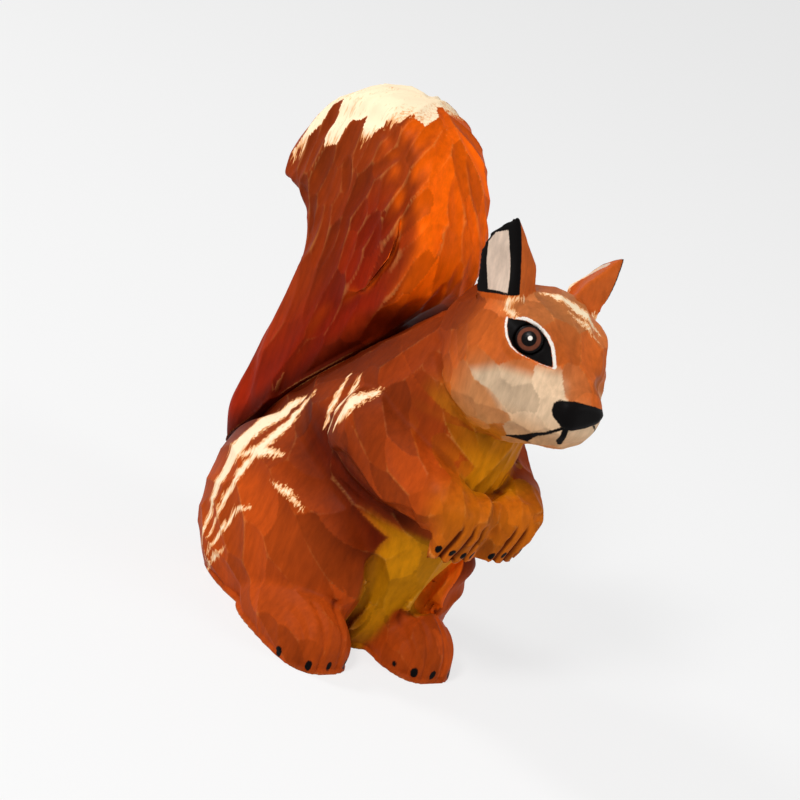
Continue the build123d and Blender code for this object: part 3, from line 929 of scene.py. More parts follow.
    ear_front: Outline = ((13.0, 6.0), (12.5, 6.0), (10.8, 5.6), (7.0, 4.5), (4.2, 4.0), (2.2, 3.8))
    ear_rear: Outline = ((-9.5, 1.5), (-10.5, 2.4), (-11.5, 3.0), (-9.0, 3.0), (-3.8, 3.0), (0.8, 3.6))
    ear_panel: Outline = (
        (-2.6, 8.0), (-6.2, 17.5), (-8.0, 26.0), (-6.0, 31.0), (-0.8, 35.0), (1.2, 31.0), (3.4, 25.5), (7.4, 12.5))
    ear_seat: float = 3.0
    ear_half: tuple[float, float] = (15.5, 11.0)
    neck_seat: Point = (0.0, 14.0, 118.0)
    neck_slope: float = math.radians(18.0)
    foot_seats: dict[Side, tuple[float, float]] = field(default_factory=lambda: {
        Side.RIGHT: (34.5, 37.0), Side.LEFT: (13.0, 27.0)})
    foot_half: float = 16.5
    foot_slope: float = math.radians(30.0)
    haunch_seat: float = 21.0
    haunch_top: tuple[float, float] = (-20.0, 71.0)
    haunch_slope: float = math.radians(25.0)
    arm_seat: tuple[float, float] = (2.0, 31.0)
    arm_turn: float = math.radians(31.0)
    arm_behind: float = -20.0
    arm_under: tuple[float, float] = (38.0, 58.0)
    arm_under_slope: float = math.radians(12.0)
    arm_top: float = 112.0
    nose_tip: Point = (0.0, 68.0, 138.0)
    face_front: float = 56.0
    claw_shape: Point = (1.0, 0.7, 0.6)
    claw_radius: float = 1.3

    def build(self, nodes: Frame) -> None:
        """Wraps, carves and paints the body, and cuts it into its pieces."""
        draws = np.random.default_rng(SEED)
        wrapped = [nodes[name.value] for name in self.blocks]
        wrapped += [nodes["right_eye"], nodes["left_eye"]]
        self.skin = Skin("body_skin", wrapped, self.voxel)
        LOG.info("body skin: %d vertices", len(self.skin.place))
        self._hold()
        self.skin.soften(6)
        self.regions = node_regions(self.skin, nodes, self.blocks)
        self._read_places()
        self._model_forms()
        self._read_places()
        self._carve(draws)
        self._model_marks()
        self.skin.apply_cuts()
        self._read_places()
        self._paint(draws)
        self._split()

    def _hold(self) -> None:
        """Keeps the rest face and the tail's glue face where they are."""
        place = self.skin.place
        rest = smoothstep(0.2, 1.6, place[:, 2])
        self.skin.firm = rest * smoothstep(0.1, 0.8, -over_tail_seat(place))

    def _read_places(self) -> None:
        """Reads left, ahead and up of every vertex, and the same with the head's tilt taken out."""
        place = self.skin.place
        self.left = place[:, 0]
        self.ahead = -place[:, 1] - AHEAD_OFFSET
        self.up = place[:, 2]
        rise = self.up - HEAD_PIVOT
        self.head_left = self.left * math.cos(HEAD_TILT) - rise * math.sin(HEAD_TILT)
        self.head_up = self.left * math.sin(HEAD_TILT) + rise * math.cos(HEAD_TILT) + HEAD_PIVOT
        self.places = np.stack([self.left, self.ahead, self.up], 1)
        self.upright = np.stack([self.head_left, self.ahead, self.head_up], 1)
        self.side_view = np.stack([self.ahead, self.head_up], 1)
        self.front_view = np.stack([self.head_left, self.head_up], 1)

    def either(self, *names: Node) -> np.ndarray:
        """A mask of several blocks."""
        return np.logical_or.reduce([self.regions[name] for name in names])

    def both(self, limb: Limb) -> np.ndarray:
        """A mask of a limb's two blocks."""
        return self.either(*(side.node(limb) for side in Side))

    def _head(self) -> np.ndarray:
        """A mask of the head and its ears."""
        return self.either(Node.HEAD, Node.RIGHT_EAR, Node.LEFT_EAR)

    def _arm_gap(self, side: Side) -> np.ndarray:
        """Distance of every vertex from the round of an arm."""
        return capsule(self.places * side.flip(), self.arm_line)

    def _haunch_gap(self, side: Side) -> np.ndarray:
        """Distance of every vertex from the round of a haunch, roughly."""
        aside, lift = self.haunch_spot
        half = np.array(self.haunch_half)
        step = np.stack([side.value * self.left - aside, self.ahead + self.haunch_behind[side], self.up - lift], 1)
        return (np.linalg.norm(step / half, axis=1) - 1.0) * 40.0

    def _eye_plane(self, side: Side) -> tuple[np.ndarray, np.ndarray, np.ndarray]:
        """Each vertex along and across an eye's opening and along its gaze."""
        gaze = self.gaze(side)
        back = np.array(self.eye_corner_back) * side.flip()
        fore = np.array(self.eye_corner_front) * side.flip()
        along = fore - back
        along = along - gaze * (along @ gaze)
        along = along / np.linalg.norm(along)
        rise = np.cross(along, gaze)
        rise = rise if rise[2] > 0 else -rise
        step = self.upright - (back + fore) / 2.0
        return step @ along, step @ rise, step @ gaze

    def _almond(self, side: Side) -> np.ndarray:
        """Signed distance to the opening of an eye, with far values off that side of the head."""
        a, b, depth = self._eye_plane(side)
        almond = polygon(np.stack([a, b], 1), self.eye_outline)
        return np.where((np.abs(depth) < 14.0) & (side.value * self.head_left > 0.0), almond, 30.0)

    def _model_forms(self) -> None:
        """Brow ridges, eye hollows, a firmer snout and the valleys round the limbs, before the cuts are made."""
        lift = np.zeros(len(self.left))
        head, trunk = self._head(), self.regions[Node.TRUNK]
        near = smoothstep(4.0, 12.0, self.up) * smoothstep(-72.0, -52.0, self.ahead)
        below = (self.up < 88.0) & (self.ahead < 30.0)
        for side in Side:
            flipped = self.upright * side.flip()
            lift += hump(capsule(flipped, self.brow), *self.brow_form) * head
            lift -= self.eye_hollow * smoothstep(2.0, -2.5, self._almond(side)) * head
            hollow = np.linalg.norm(flipped - np.array(self.snout_hollow), axis=1)
            lift -= hump(hollow, *self.snout_form) * head
            gap = self._haunch_gap(side)
            lift -= hump(gap, *self.haunch_valley) * ((gap > 0.0) & trunk) * near
            gap = self._arm_gap(side)
            arm = self.regions[side.node(Limb.ARM)]
            lift -= hump(gap, *self.arm_valley) * ((gap > 0.0) & (trunk | arm) & below)
        jaw = capsule(self.side_view, self.jaw)
        lift -= hump(jaw, *self.jaw_valley) * (np.abs(self.head_left) > 12.0)
        for *middle, reach, height in self.trims:
            lift += hump(np.linalg.norm(self.places - np.array(middle), axis=1), height, reach)
        lift = self.skin.blur(lift, 8) * self.skin.firm
        self.skin.place += self.skin.normal * lift[:, None]
        ear = self.skin.blur(self.both(Limb.EAR).astype(float), 4)
        self.skin.place += (self.skin.blur(self.skin.place, 14) - self.skin.place) * ear[:, None]
        self.skin.settle()

    def _carve(self, draws: np.random.Generator) -> None:
        """Makes the gouge cuts of every part of the body."""
        skin = self.skin
        count = len(skin.place)
        any_order = draws.random(count)
        eyes = np.min([self._almond(side) for side in Side], axis=0)
        held = skin.firm
        skin.firm = held * smoothstep(0.5, 4.0, eyes)
        nose = np.linalg.norm(self.upright - np.array(self.nose_tip), axis=1)
        skin.firm *= smoothstep(9.0, 15.0, nose)

        haunch = self.both(Limb.HAUNCH)
        sweep = np.clip((self.ahead + 92.0) / 34.0, 0.0, 1.0)
        ways = unit(np.stack([np.zeros(count), -sweep, -0.55 * sweep + (1.0 - sweep)], 1))
        skin.carve(haunch, self.haunch_gouge, ways, any_order, draws)

        arm = self.both(Limb.ARM)
        hand = arm & (self.ahead > 33.0)
        ways = np.where(hand[:, None], heading(0.0, 0.2, -1.0), heading(0.0, 1.0, -0.5))
        skin.carve(arm, self.arm_gouge, ways, any_order, draws)

        trunk = self.regions[Node.TRUNK]
        front = smoothstep(-20.0, 10.0, self.ahead)
        ways = unit(np.stack([np.zeros(count), -(1.0 - front) * 0.8, 1.0 - 0.2 * front], 1))
        skin.carve(trunk, self.trunk_gouge, ways, any_order, draws)

        foot = self.both(Limb.FOOT)
        skin.carve(foot, self.foot_gouge, np.tile(heading(0.0, 1.0, -0.5), (count, 1)), any_order, draws)

        head = self.regions[Node.HEAD]
        cheek = head & (self.head_up < 146.0)
        ways = unit(np.stack([np.zeros(count), -np.ones(count), np.where(cheek, -0.5, 0.25)], 1))
        skin.carve(cheek, self.cheek_gouge, ways, any_order, draws)
        skin.carve(head & ~cheek, self.head_gouge, ways, any_order, draws)
        skin.firm = held

    def eye_spot(self, side: Side) -> np.ndarray:
        """The middle of an eye in upright head places."""
        aside, ahead, up = self.eye_middle
        return np.array([side.value * aside, ahead, up])

    def gaze(self, side: Side) -> np.ndarray:
        """The way an eye looks, in upright head places."""
        flat = math.cos(self.eye_rise)
        return np.array([side.value * math.sin(self.eye_turn) * flat, math.cos(self.eye_turn) * flat,
                         math.sin(self.eye_rise)])

    def _model_marks(self) -> None:
        """Eye seats, the nose, finger and toe grooves, as small moves of the surface."""
        lift = self.skin.lift
        for side in Side:
            gaze = self.gaze(side)
            step = self.upright - self.eye_spot(side)
            depth = step @ gaze
            radius = np.linalg.norm(step - depth[:, None] * gaze, axis=1)
            seat = (np.abs(depth) < 8.0) & (radius < self.eye_radius + 0.3)
            lift[seat] -= self.eye_seat
            hand = self.regions[side.node(Limb.ARM)]
            deep, half = self.finger_groove
            for groove in self.finger_grooves:
                gap = np.abs(side.value * self.left - groove)
                depth = np.clip(1.0 - gap / half, 0.0, 1.0) * smoothstep(86.0, 73.0, self.up) * (self.ahead > 34.0)
                lift -= deep * depth * hand
            foot = self.regions[side.node(Limb.FOOT)]
            tip = max(toe[1] for toe in self.toes[side])
            deep, half = self.toe_groove
            for groove in self.toe_grooves[side]:
                gap = np.abs(self.left - groove)
                depth = np.clip(1.0 - gap / half, 0.0, 1.0) * smoothstep(tip - 26.0, tip - 12.0, self.ahead)
                lift -= deep * depth * foot
        nose = polygon(self.front_view, self.nose_outline)
        lift += self.nose_rise * smoothstep(0.8, -2.0, nose) * (self.ahead > self.face_front)

    def _paint(self, draws: np.random.Generator) -> None:
        """Lays the colours, with painted shade and painted highlights, and the crisp marks."""
        skin = self.skin
        coat = Coat.ground(skin, RUSSET)
        self.coat = coat
        tone = skin.cell_draw(draws)
        cells = skin.cell_centres()
        mid_left = 0.3 * self.left + 0.7 * cells[:, 0]
        mid_ahead = 0.3 * self.ahead - 0.7 * (cells[:, 1] + AHEAD_OFFSET)
        mid_up = 0.3 * self.up + 0.7 * cells[:, 2]
        head, arm, trunk, haunch = self._head(), self.both(Limb.ARM), self.regions[Node.TRUNK], self.both(Limb.HAUNCH)
        coat.brush(ORANGE, 0.7 * arm * smoothstep(26.0, 46.0, self.ahead))
        coat.brush(OCHRE, 0.3 * arm * smoothstep(30.0, 46.0, self.ahead))
        coat.brush(UMBER, 0.7 * skin.blur((trunk | arm).astype(float), 8) * smoothstep(34.0, 0.0, self.ahead))
        coat.brush(UMBER, 0.55 * haunch * smoothstep(42.0, 62.0, self.up))
        coat.brush(FACE, head * smoothstep(-4.0, 26.0, self.ahead))
        coat.brush(UMBER, 0.85 * head * smoothstep(32.0, 4.0, self.ahead))
        crown = head * smoothstep(156.0, 170.0, mid_up) * smoothstep(16.0, 36.0, mid_ahead)
        coat.brush(BROW, 0.8 * crown)
        belly = smoothstep(24.0, 13.0, np.abs(0.5 * (self.left + cells[:, 0]) + 6.0))
        belly *= smoothstep(-4.0, 6.0, self.ahead) * smoothstep(118.0, 108.0, self.up)
        # Painted light: brighter orange low on the trunk's left side, where the arms and hands shade it.
        coat.brush(BRIGHT_ORANGE, 0.9 * trunk * smoothstep(4.0, 14.0, self.left) * smoothstep(70.0, 58.0, self.up))
        belly = skin.blur(belly * trunk, 10)
        coat.brush(OCHRE, 0.95 * belly)
        inner = smoothstep(26.0, 10.0, np.abs(mid_left)) * smoothstep(14.0, 32.0, mid_ahead)
        coat.brush(OCHRE, 0.8 * inner * arm * smoothstep(80.0, 90.0, self.up) * smoothstep(44.0, 34.0, self.ahead))
        throat = head * smoothstep(124.0, 116.0, self.head_up) * smoothstep(6.0, 20.0, self.ahead)
        coat.brush(OCHRE, 0.4 * skin.blur(throat, 8))
        nape = smoothstep(98.0, 110.0, self.up) * smoothstep(128.0, 120.0, self.head_up)
        coat.brush(UMBER, 0.55 * nape * smoothstep(40.0, 22.0, self.ahead))
        coat.brush(OCHRE, 0.2 * head * smoothstep(136.0, 118.0, self.head_up) * smoothstep(6.0, 20.0, self.ahead))
        self._paint_shade(coat, head, belly)
        high = self.head_up - self.up + 0.5 * (self.up + cells[:, 2]) + 3.5 * (self.head_left > 0.0)
        view = np.stack([0.5 * (self.ahead - cells[:, 1] - AHEAD_OFFSET), high], 1)
        coat.brush(TAN, 0.7 * head * smoothstep(6.0, -4.0, polygon(view, self.cheek_patch)))
        cream = head * smoothstep(1.4, -1.4, polygon(view, self.cheek_cream))
        coat.brush(CREAM, cream)
        coat.brush(TAN, 0.75 * cream * smoothstep(134.0, 122.0, self.head_up))
        coat.colour *= (0.72 + 0.48 * tone)[:, None]
        self._paint_highlights(coat)
        self._mark_face(coat)
        self._mark_claws(coat)
        for side in Side:
            self._mark_ear(coat, side)

    def _paint_shade(self, coat: Coat, head: np.ndarray, belly: np.ndarray) -> None:
        """Lays painted shade, dark red, in the valleys round haunches and arms, along the tail's glue face, in the
        creases and in the finger grooves.

        Args:
            coat: the paint so far.
            head: mask of the head and ears, kept out of the painted shade of the valleys and the tail's glue face.
            belly: share of the belly's colour at each vertex, where the painted shade is mostly left out.
        """
        painted_shade = np.zeros(len(self.left))
        haunch = self.both(Limb.HAUNCH)
        for side in Side:
            beside = smoothstep(12.0, 20.0, side.value * self.left)
            gap = self._haunch_gap(side)
            front = smoothstep(-74.0, -40.0, self.ahead) * smoothstep(6.0, 20.0, self.up) * beside * ~haunch
            painted_shade = np.maximum(painted_shade, hump(np.maximum(gap, 0.0), 1.0, 11.0) * (gap > -1.5) * front)
            gap = self._arm_gap(side)
            below = smoothstep(92.0, 84.0, self.up) * smoothstep(40.0, 20.0, self.ahead) * beside
            painted_shade = np.maximum(painted_shade, hump(np.maximum(gap, 0.0), 1.0, 8.0) * (gap > -1.0) * below)
            valley = capsule(self._haunch_view(side), self.dark_valley)
            painted_shade = np.maximum(painted_shade, hump(valley, 1.0, 14.0) * beside)
        painted_shade *= ~self.both(Limb.FOOT) * ~head
        painted_shade = self.skin.blur(painted_shade, 12)
        painted_shade = np.maximum(painted_shade, hump(over_tail_seat(self.skin.place), 0.9, 13.0) * ~head)
        low = self.regions[Node.TRUNK] * smoothstep(-10.0, 4.0, self.ahead) * smoothstep(68.0, 58.0, self.up)
        painted_shade = np.maximum(painted_shade, smoothstep(0.35, 2.0, self.skin.crease)) * (1.0 - 0.85 * np.maximum(belly, low))
        grooves = smoothstep(0.3, 1.3, -self.skin.lift) * self.both(Limb.ARM)
        coat.brush(EMBER, 0.92 * np.maximum(painted_shade, grooves))

    def _haunch_view(self, side: Side) -> np.ndarray:
        """Every vertex ahead and up, seen from a side and moved to where the right haunch lies."""
        shift = self.haunch_behind[Side.RIGHT] - self.haunch_behind[side]
        return np.stack([self.ahead - shift, self.up], 1)

    def _paint_highlights(self, coat: Coat) -> None:
        """Painted highlights: pale streaks of hard light at the back of the haunches, on the shoulders and along the
        brows.
        """
        for side in Side:
            beside = side.value * self.left > 14.0
            for line in self.haunch_highlights:
                coat.painted_highlight(capsule(self._haunch_view(side), line), beside)
            for line in self.shoulder_highlights:
                coat.painted_highlight(capsule(self.places[:, 1:], line), beside & (self.up > 80.0))
            coat.painted_highlight(capsule(self.side_view, self.brow_highlight_hook), side.value * self.head_left > 20.0)
        for line in self.brow_highlights:
            coat.painted_highlight(capsule(self.upright[:, :2], line), self.head_up > 156.0)

    def _mark_face(self, coat: Coat) -> None:
        """Nose, mouth, eye surrounds and lids."""
        ahead = self.ahead > self.face_front
        coat.mark(polygon(self.front_view, self.nose_outline), ahead)
        coat.mark(capsule(self.side_view, self.mouth), np.abs(self.head_left) > 4.0)
        for line in (self.philtrum, self.far_lip):
            coat.mark(capsule(self.front_view, line), ahead)
        for side in Side:
            a, b, _ = self._eye_plane(side)
            almond = self._almond(side)
            coat.mark(almond)
            over = 1.35 * smoothstep(-12.5, -8.0, a)
            under = 0.9 - 0.6 * smoothstep(-8.0, 4.0, a)
            thick = under + (over - under) * smoothstep(-0.8, 0.8, b)
            coat.lid = np.minimum(coat.lid, np.maximum(0.05 - almond, almond - thick))

    def _mark_claws(self, coat: Coat) -> None:
        """Black claws on fingers and toes."""
        for side in Side:
            claws = [(Limb.ARM, np.array(finger) * side.flip()) for finger in self.fingers]
            claws += [(Limb.FOOT, np.array(toe)) for toe in self.toes[side]]
            for limb, claw in claws:
                gap = np.linalg.norm((self.places - claw) * np.array(self.claw_shape), axis=1)
                coat.mark(gap - self.claw_radius, self.regions[side.node(limb)])

    def _ear_plane(self, side: Side) -> tuple[np.ndarray, np.ndarray, np.ndarray]:
        """Each vertex ahead, outward and up in an ear's own frame."""
        lean, rake, splay = self.ear_lean, self.ear_rake, self.ear_splay
        axis = np.array([side.value * math.sin(lean), math.cos(lean) * math.sin(rake), math.cos(lean) * math.cos(rake)])
        fore = np.array([-side.value * math.sin(splay), math.cos(splay), 0.0])
        fore = fore - axis * (fore @ axis)
        fore = fore / np.linalg.norm(fore)
        out = np.cross(axis, fore)
        out = out if out[0] * side.value > 0 else -out
        step = self.upright - np.array(self.ear_root) * side.flip()
        return step @ fore, step @ out, step @ axis

    def _mark_ear(self, coat: Coat, side: Side) -> None:
        """The cream panel of an ear inside its black rim, its orange front and a painted highlight along its back edge.
        """
        x, y, z = self._ear_plane(side)
        node = self.regions[side.node(Limb.EAR)]
        z = z * self.ear_heights[Side.RIGHT] / self.ear_heights[side]
        front, rear = np.array(self.ear_front), np.array(self.ear_rear)
        front_x, front_y = (np.interp(z, self.ear_levels, front[:, axis]) for axis in (0, 1))
        rear_x, rear_y = (np.interp(z, self.ear_levels, rear[:, axis]) for axis in (0, 1))
        share = (x - rear_x) / np.maximum(front_x - rear_x, 0.5)
        sunk = rear_y + share * (front_y - rear_y) - y
        base = 3.9 + 0.513 * (x + 7.5)
        blade = node & (z > base - 2.5)
        panel = polygon(np.stack([x, z], 1), self.ear_panel)
        coat.brush(ORANGE, 0.8 * blade)
        coat.brush(PANEL, blade * (panel < 0.6) * (sunk < 4.0))
        rim = np.maximum(np.maximum(-panel, base - z), sunk - 1.3)
        coat.mark(rim, blade)
        # Painted highlight: a pale streak along the back of the blade.
        coat.painted_highlight(x - rear_x - 0.28 * (front_x - rear_x), blade & (sunk > 2.0))

    def _split(self) -> None:
        """Cuts the carved body into its pieces along the glue faces."""
        self.paint, self.wood = PaintFinish().material(), WoodFinish().material()
        body = self.skin.mesh
        body.materials.clear()
        body.materials.append(self.paint)
        self.saws: list[bpy.types.Object] = []
        neck = (spot(*self.neck_seat), -heading(0.0, math.sin(self.neck_slope), math.cos(self.neck_slope)))
        above = self._saw(Block("neck_saw", [neck]))
        rest = divide(body, above, Cut.REMOVE)
        head = divide(body, above, Cut.KEEP)
        for side in Side:
            saw = self._saw(self._ear_block(side))
            self._finish(side.node(Limb.EAR), divide(head, saw, Cut.KEEP))
            head = divide(head, saw, Cut.REMOVE)
        self._finish(Node.HEAD, head)
        for node, block in self._limb_blocks():
            saw = self._saw(block)
            self._finish(node, divide(rest, saw, Cut.KEEP))
            rest = divide(rest, saw, Cut.REMOVE)
        self._finish(Node.TRUNK, rest)
        for saw in self.saws:
            bpy.data.objects.remove(saw)

    def _saw(self, block: Block) -> bpy.types.Object:
        """A cutting block that leaves bare wood behind."""
        saw = block.build()
        saw.data.materials.append(self.wood)
        self.saws.append(saw)
        return saw

    def _finish(self, node: Node, mesh: bpy.types.Mesh) -> None:
        """Paints one cut mesh and hangs it in the frame."""
        dress_mesh(mesh, self.skin, self.coat)
        Piece(node, mesh, "body_paint")

    def _ear_block(self, side: Side) -> Block:
        """The block round an ear, above its glue face."""
        lean, rake, splay = self.ear_lean, self.ear_rake, self.ear_splay
        axis = TILT @ heading(side.value * math.sin(lean), math.cos(lean) * math.sin(rake),
                              math.cos(lean) * math.cos(rake))
        fore = TILT @ heading(-side.value * math.sin(splay), math.cos(splay), 0.0)
        fore = fore - axis * (fore @ axis)
        fore = fore / np.linalg.norm(fore)
        out = np.cross(axis, fore)
        root = tilt_head(spot(*(np.array(self.ear_root) * side.flip())))
        deep, thick = self.ear_half
        return Block(f"ear_saw_{side.name.lower()}", [
            (root + axis * self.ear_seat, -axis), (root + fore * deep, fore), (root - fore * deep, -fore),
            (root + out * thick, out), (root - out * thick, -out)])

    def _limb_blocks(self) -> list[tuple[Node, Block]]:
        """The blocks of feet, haunches and arms, in the order they are cut."""
        found: list[tuple[Node, Block]] = []
        for limb, faces in ((Limb.FOOT, self._foot_faces), (Limb.HAUNCH, self._haunch_faces),
                            (Limb.ARM, self._arm_faces)):
            for side in Side:
                node = side.node(limb)
                found.append((node, Block(node.value + "_saw", faces(side))))
        return found

    def _foot_faces(self, side: Side) -> list[Plane]:
        """The glue faces of a foot: its inner side and its sloping top."""
        aside, heel = self.foot_seats[side]
        return [(spot(side.value * (aside - self.foot_half), 0.0, 0.0), heading(-side.value, 0.0, 0.0)),
                (spot(0.0, -heel, 0.0), heading(0.0, -math.sin(self.foot_slope), math.cos(self.foot_slope)))]

    def _haunch_faces(self, side: Side) -> list[Plane]:
        """The glue faces of a haunch: its inner side and its sloping top."""
        return [(spot(side.value * self.haunch_seat, 0.0, 0.0), heading(-side.value, 0.0, 0.0)),
                (spot(0.0, *self.haunch_top), heading(0.0, math.sin(self.haunch_slope), math.cos(self.haunch_slope)))]

    def _arm_faces(self, side: Side) -> list[Plane]:
        """The glue faces of an arm: its slanting inner side, the middle of the figure, its back, underside and top."""
        aside, ahead = self.arm_seat
        under = self.arm_under_slope
        return [(spot(side.value * aside, ahead, 0.0),
                 -heading(side.value * math.cos(self.arm_turn), math.sin(self.arm_turn), 0.0)),
                (spot(0.0, 0.0, 0.0), heading(-side.value, 0.0, 0.0)),
                (spot(0.0, self.arm_behind, 0.0), heading(0.0, -1.0, 0.0)),
                (spot(0.0, *self.arm_under), heading(0.0, -math.sin(under), -math.cos(under))),
                (spot(0.0, 0.0, self.arm_top), heading(0.0, 0.0, 1.0))]


@dataclass
class Tail:
    """The tall tail with its flutes and a painted highlight along its crown."""

    voxel: float = 0.7
    flute: Gouge = Gouge(5.0, 15.0, 2.2, spread=0.28)
    long_flute: Gouge = Gouge(6.5, 26.0, 2.2)
    low_flute: Gouge = Gouge(9.0, 38.0, 2.0)
    front_swell: float = 7.0
    tip_swell: float = 2.2
    # lower edge of the crown's painted highlight, ahead and up
    crown: Outline = (
        (-118.0, 162.0), (-103.0, 172.0), (-82.0, 186.0), (-68.0, 196.0), (-59.0, 198.0), (-50.0, 206.0))
    flutes_from: float = 142.0
    long_flutes_from: float = 92.0

    def build(self, nodes: Frame, paint: bpy.types.Material) -> None:
        """Wraps, carves and paints the tail."""
        draws = np.random.default_rng(SEED + 1)
        skin = Skin("tail_skin", [nodes[Node.TAIL.value]], self.voxel)
        skin.firm = smoothstep(0.1, 0.8, over_tail_seat(skin.place)) * smoothstep(0.2, 1.6, skin.place[:, 2])
        skin.soften(30)
        self._fill_out(skin)
        self._carve(skin, draws)
        mesh = skin.mesh
        mesh.materials.clear()
        mesh.materials.append(paint)
        dress_mesh(mesh, skin, self._paint(skin, draws))
        Piece(Node.TAIL, mesh, "tail_paint")

    def _carve(self, skin: Skin, draws: np.random.Generator) -> None:
        """Makes the flutes, longer and wider towards the lower end."""
        ahead, up = -skin.place[:, 1] - AHEAD_OFFSET, skin.place[:, 2]
        count = len(skin.place)
        ways = unit(np.stack([0.16 * skin.place[:, 0], -(ahead + 100.0), up + 40.0], 1))
        order = -up + draws.normal(0.0, 12.0, count)
        short, low = up > self.flutes_from, up <= self.long_flutes_from
        skin.carve(short, self.flute, ways, order, draws)
        skin.carve(~short & ~low, self.long_flute, ways, order, draws)
        skin.carve(low, self.low_flute, ways, order, draws)
        skin.apply_cuts()

    def _paint(self, skin: Skin, draws: np.random.Generator) -> Coat:
        """Lays the tail's colours, from crimson and painted shade at its seat to the painted highlight along the crown.
        """
        ahead, up = -skin.place[:, 1] - AHEAD_OFFSET, skin.place[:, 2]
        coat = Coat.ground(skin, CHESTNUT)
        tone = skin.cell_draw(draws)
        chance = skin.cell_draw(draws)
        cells = skin.cell_centres()
        mid_up = 0.5 * up + 0.5 * cells[:, 2]
        faces = unit(skin.blur(skin.normal, 30))
        seat = over_tail_seat(skin.place)
        beside = smoothstep(0.3, 0.8, np.abs(faces[:, 0]))
        coat.brush(DEEP_RUSSET, 0.9 * smoothstep(185.0, 100.0, up))
        coat.brush(UMBER, 0.5 * beside * smoothstep(-46.0, -72.0, ahead) * smoothstep(88.0, 126.0, up))
        middle = beside * hump(ahead + 52.0, 1.0, 18.0) * smoothstep(190.0, 155.0, up)
        coat.brush(CRIMSON, 0.9 * middle)
        coat.brush(EMBER, 0.25 * middle)
        coat.brush(BRIGHT_ORANGE, 0.95 * smoothstep(0.1, 0.65, -faces[:, 1]) * smoothstep(50.0, 110.0, up))
        # Painted shade: deep red, then dark red, in the crease where the tail meets the back and in the flutes'
        # creases.
        near = smoothstep(150.0, 124.0, up)
        coat.brush(CRIMSON, 0.9 * smoothstep(34.0, 10.0, seat) * near)
        dark = np.maximum(0.6 * smoothstep(0.5, 2.4, skin.crease), smoothstep(9.0, 2.0, seat))
        coat.brush(EMBER, 0.8 * dark * near)
        coat.colour *= (0.68 + 0.54 * tone)[:, None]
        # Painted highlight along the crown: pale streaks of hard light on faces that don't turn down.
        line = np.array(self.crown)
        over = mid_up - np.interp(0.3 * ahead - 0.7 * (cells[:, 1] + AHEAD_OFFSET), line[:, 0], line[:, 1]) - 4.0
        crown_highlight = smoothstep(-3.0, 9.0, over + 10.0 * (chance > 0.74)) * (chance > 0.2)
        coat.painted_light = np.clip(crown_highlight * smoothstep(-0.35, 0.2, faces[:, 2]) * (0.8 + 0.4 * tone), 0.0, 1.0)
        return coat

    def _fill_out(self, skin: Skin) -> None:
        """Rounds the tail's front out towards the head and its lower end backwards, before it is carved."""
        ahead, up = -skin.place[:, 1] - AHEAD_OFFSET, skin.place[:, 2]
        seat = over_tail_seat(skin.place)
        front = smoothstep(-0.1, 0.6, -skin.normal[:, 1])
        front *= smoothstep(122.0, 138.0, up) * smoothstep(182.0, 152.0, up)
        swell = np.minimum(self.front_swell * front, np.maximum(seat - 0.8, 0.0) / 0.8)
        low = np.linalg.norm(np.stack([ahead + 97.5, up - 57.0], 1), axis=1)
        skin.place[:, 1] -= skin.blur(swell, 10)
        skin.place += skin.normal * (hump(low, self.tip_swell, 11.0) * skin.firm)[:, None]
        skin.settle()


@dataclass
class Eyes:
    """The two eye pegs, kept from the CAD and given a painted eye."""

    glint_turn: float = math.radians(40.0)
    glint_reach: float = 0.5
    glint_height: float = 1.4

    def dress(self, nodes: Frame, body: Body) -> None:
        """Gives each peg its iris and light spot."""
        for side in Side:
            name = f"{side.name.lower()}_eye"
            centre = tilt_head(spot(*body.eye_spot(side)))
            way = TILT @ heading(*body.gaze(side))
            level = np.cross([0.0, 0.0, 1.0], way)
            level = level / np.linalg.norm(level)
            over = np.cross(way, level)
            fore = level if level[1] < 0 else -level
            aim = fore * math.cos(self.glint_turn) + over * math.sin(self.glint_turn)
            glint = centre + way * self.glint_height + self.glint_reach * aim
            finish = EyeFinish(name + "_paint", tuple(centre * MM), tuple(way), tuple(glint * MM))
            peg = nodes[name]
            peg.data.materials.clear()
            peg.data.materials.append(finish.material())
            LOG.info("%s dressed", name)


@dataclass
class Dowels:
    """The dowels, kept from the CAD as bare wood."""

    groups: tuple[str, ...] = ("neck_dowel", "tail_dowels", "haunch_dowels", "foot_dowels", "arm_dowels", "ear_dowels")

    def dress(self, nodes: Frame, wood: bpy.types.Material) -> None:
        """Gives the dowels their wood."""
        for name in self.groups:
            nodes[name].data.materials.clear()
            nodes[name].data.materials.append(wood)
            LOG.info("%s dressed", name)


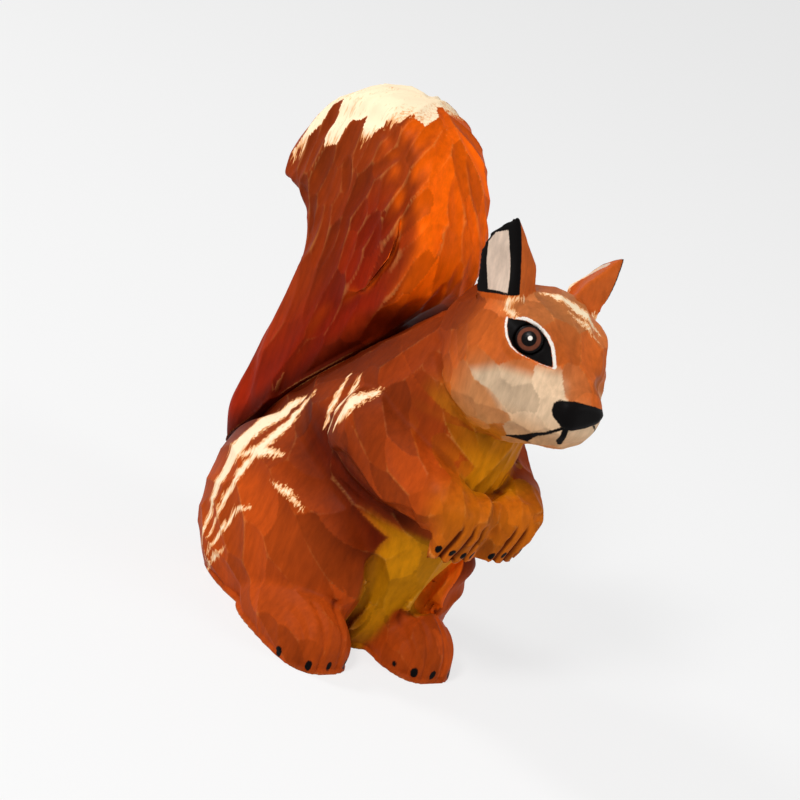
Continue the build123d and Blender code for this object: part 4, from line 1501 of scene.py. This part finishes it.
@dataclass
class Studio:
    """Pale floor, soft lamps and the camera at the photograph's angle."""

    target: Point = (0.0, -0.0002, 0.0971)
    turn: float = math.radians(45.0)
    height: float = math.radians(18.0)
    roll: float = math.radians(20.0)
    distance: float = 1.1
    lens: float = 123.75
    floor_size: float = 14.0
    floor_white: float = 0.72
    fill_light: float = 0.20

    def build(self) -> None:
        """Sets up the whole studio."""
        self._floor()
        self._world()
        self._lamp("key", (-1.5, -0.5, 1.5), 0.45, 29.0)
        self._lamp("front", (0.9, -1.4, 0.8), 0.8, 9.0)
        self._lamp("rim", (-0.8, 1.3, 1.3), 0.4, 14.0)
        self._camera()
        bpy.context.scene.view_settings.view_transform = "Standard"

    def _floor(self) -> None:
        """A white floor that keeps a soft shadow."""
        form = bmesh.new()
        bmesh.ops.create_grid(form, x_segments=1, y_segments=1, size=self.floor_size / 2)
        mesh = bpy.data.meshes.new("floor")
        form.to_mesh(mesh)
        form.free()
        floor = bpy.data.objects.new("floor", mesh)
        bpy.context.scene.collection.objects.link(floor)
        n = Nodes.material("floor_white")
        matte = n.add("ShaderNodeBsdfDiffuse")
        matte.inputs["Color"].default_value = (0.80, 0.80, 0.80, 1.0)
        glow = n.add("ShaderNodeEmission")
        glow.inputs["Strength"].default_value = 1.0
        n.blend(n.maths("MULTIPLY", n.seen(), self.floor_white), matte, glow)
        mesh.materials.append(n.owner)

    def _world(self) -> None:
        """White to the camera, soft grey as light."""
        world = bpy.data.worlds.new("studio")
        n = Nodes(world, "ShaderNodeOutputWorld")
        fill, back = n.add("ShaderNodeBackground"), n.add("ShaderNodeBackground")
        fill.inputs["Strength"].default_value = self.fill_light
        for shader in (fill, back):
            shader.inputs["Color"].default_value = (1.0, 1.0, 1.0, 1.0)
        n.blend(n.seen(), fill, back)
        bpy.context.scene.world = world

    def _lamp(self, name: str, place: Point, size: float, power: float) -> None:
        """A square soft lamp that points at the figure."""
        lamp = bpy.data.lights.new(name, "AREA")
        lamp.size = size
        lamp.energy = power
        item = bpy.data.objects.new(name, lamp)
        item.location = place
        item.rotation_euler = (Vector(self.target) - Vector(place)).to_track_quat("-Z", "Y").to_euler()
        bpy.context.scene.collection.objects.link(item)

    def _camera(self) -> None:
        """The camera, rolled as in the photograph."""
        back = Vector((-math.sin(self.turn) * math.cos(self.height), -math.cos(self.turn) * math.cos(self.height),
                       math.sin(self.height)))
        right = Vector((math.cos(self.turn), -math.sin(self.turn), 0.0))
        over = back.cross(right)
        across = right * math.cos(self.roll) + over * math.sin(self.roll)
        upward = over * math.cos(self.roll) - right * math.sin(self.roll)
        camera = bpy.data.cameras.new("camera")
        camera.lens = self.lens
        camera.sensor_width = 36.0
        item = bpy.data.objects.new("camera", camera)
        turn = Matrix((across, upward, back)).transposed().to_4x4()
        item.matrix_world = Matrix.Translation(Vector(self.target) + back * self.distance) @ turn
        bpy.context.scene.collection.objects.link(item)
        bpy.context.scene.camera = item


def main() -> None:
    """Builds the squirrel's pieces in order, then the studio."""
    logging.basicConfig(level=logging.INFO, format="%(name)s: %(message)s")
    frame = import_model()
    body = Body()
    body.build(frame["nodes"])
    Tail().build(frame["nodes"], body.paint)
    Eyes().dress(frame["nodes"], body)
    Dowels().dress(frame["nodes"], body.wood)
    Studio().build()


if __name__ == "__main__":
    main()
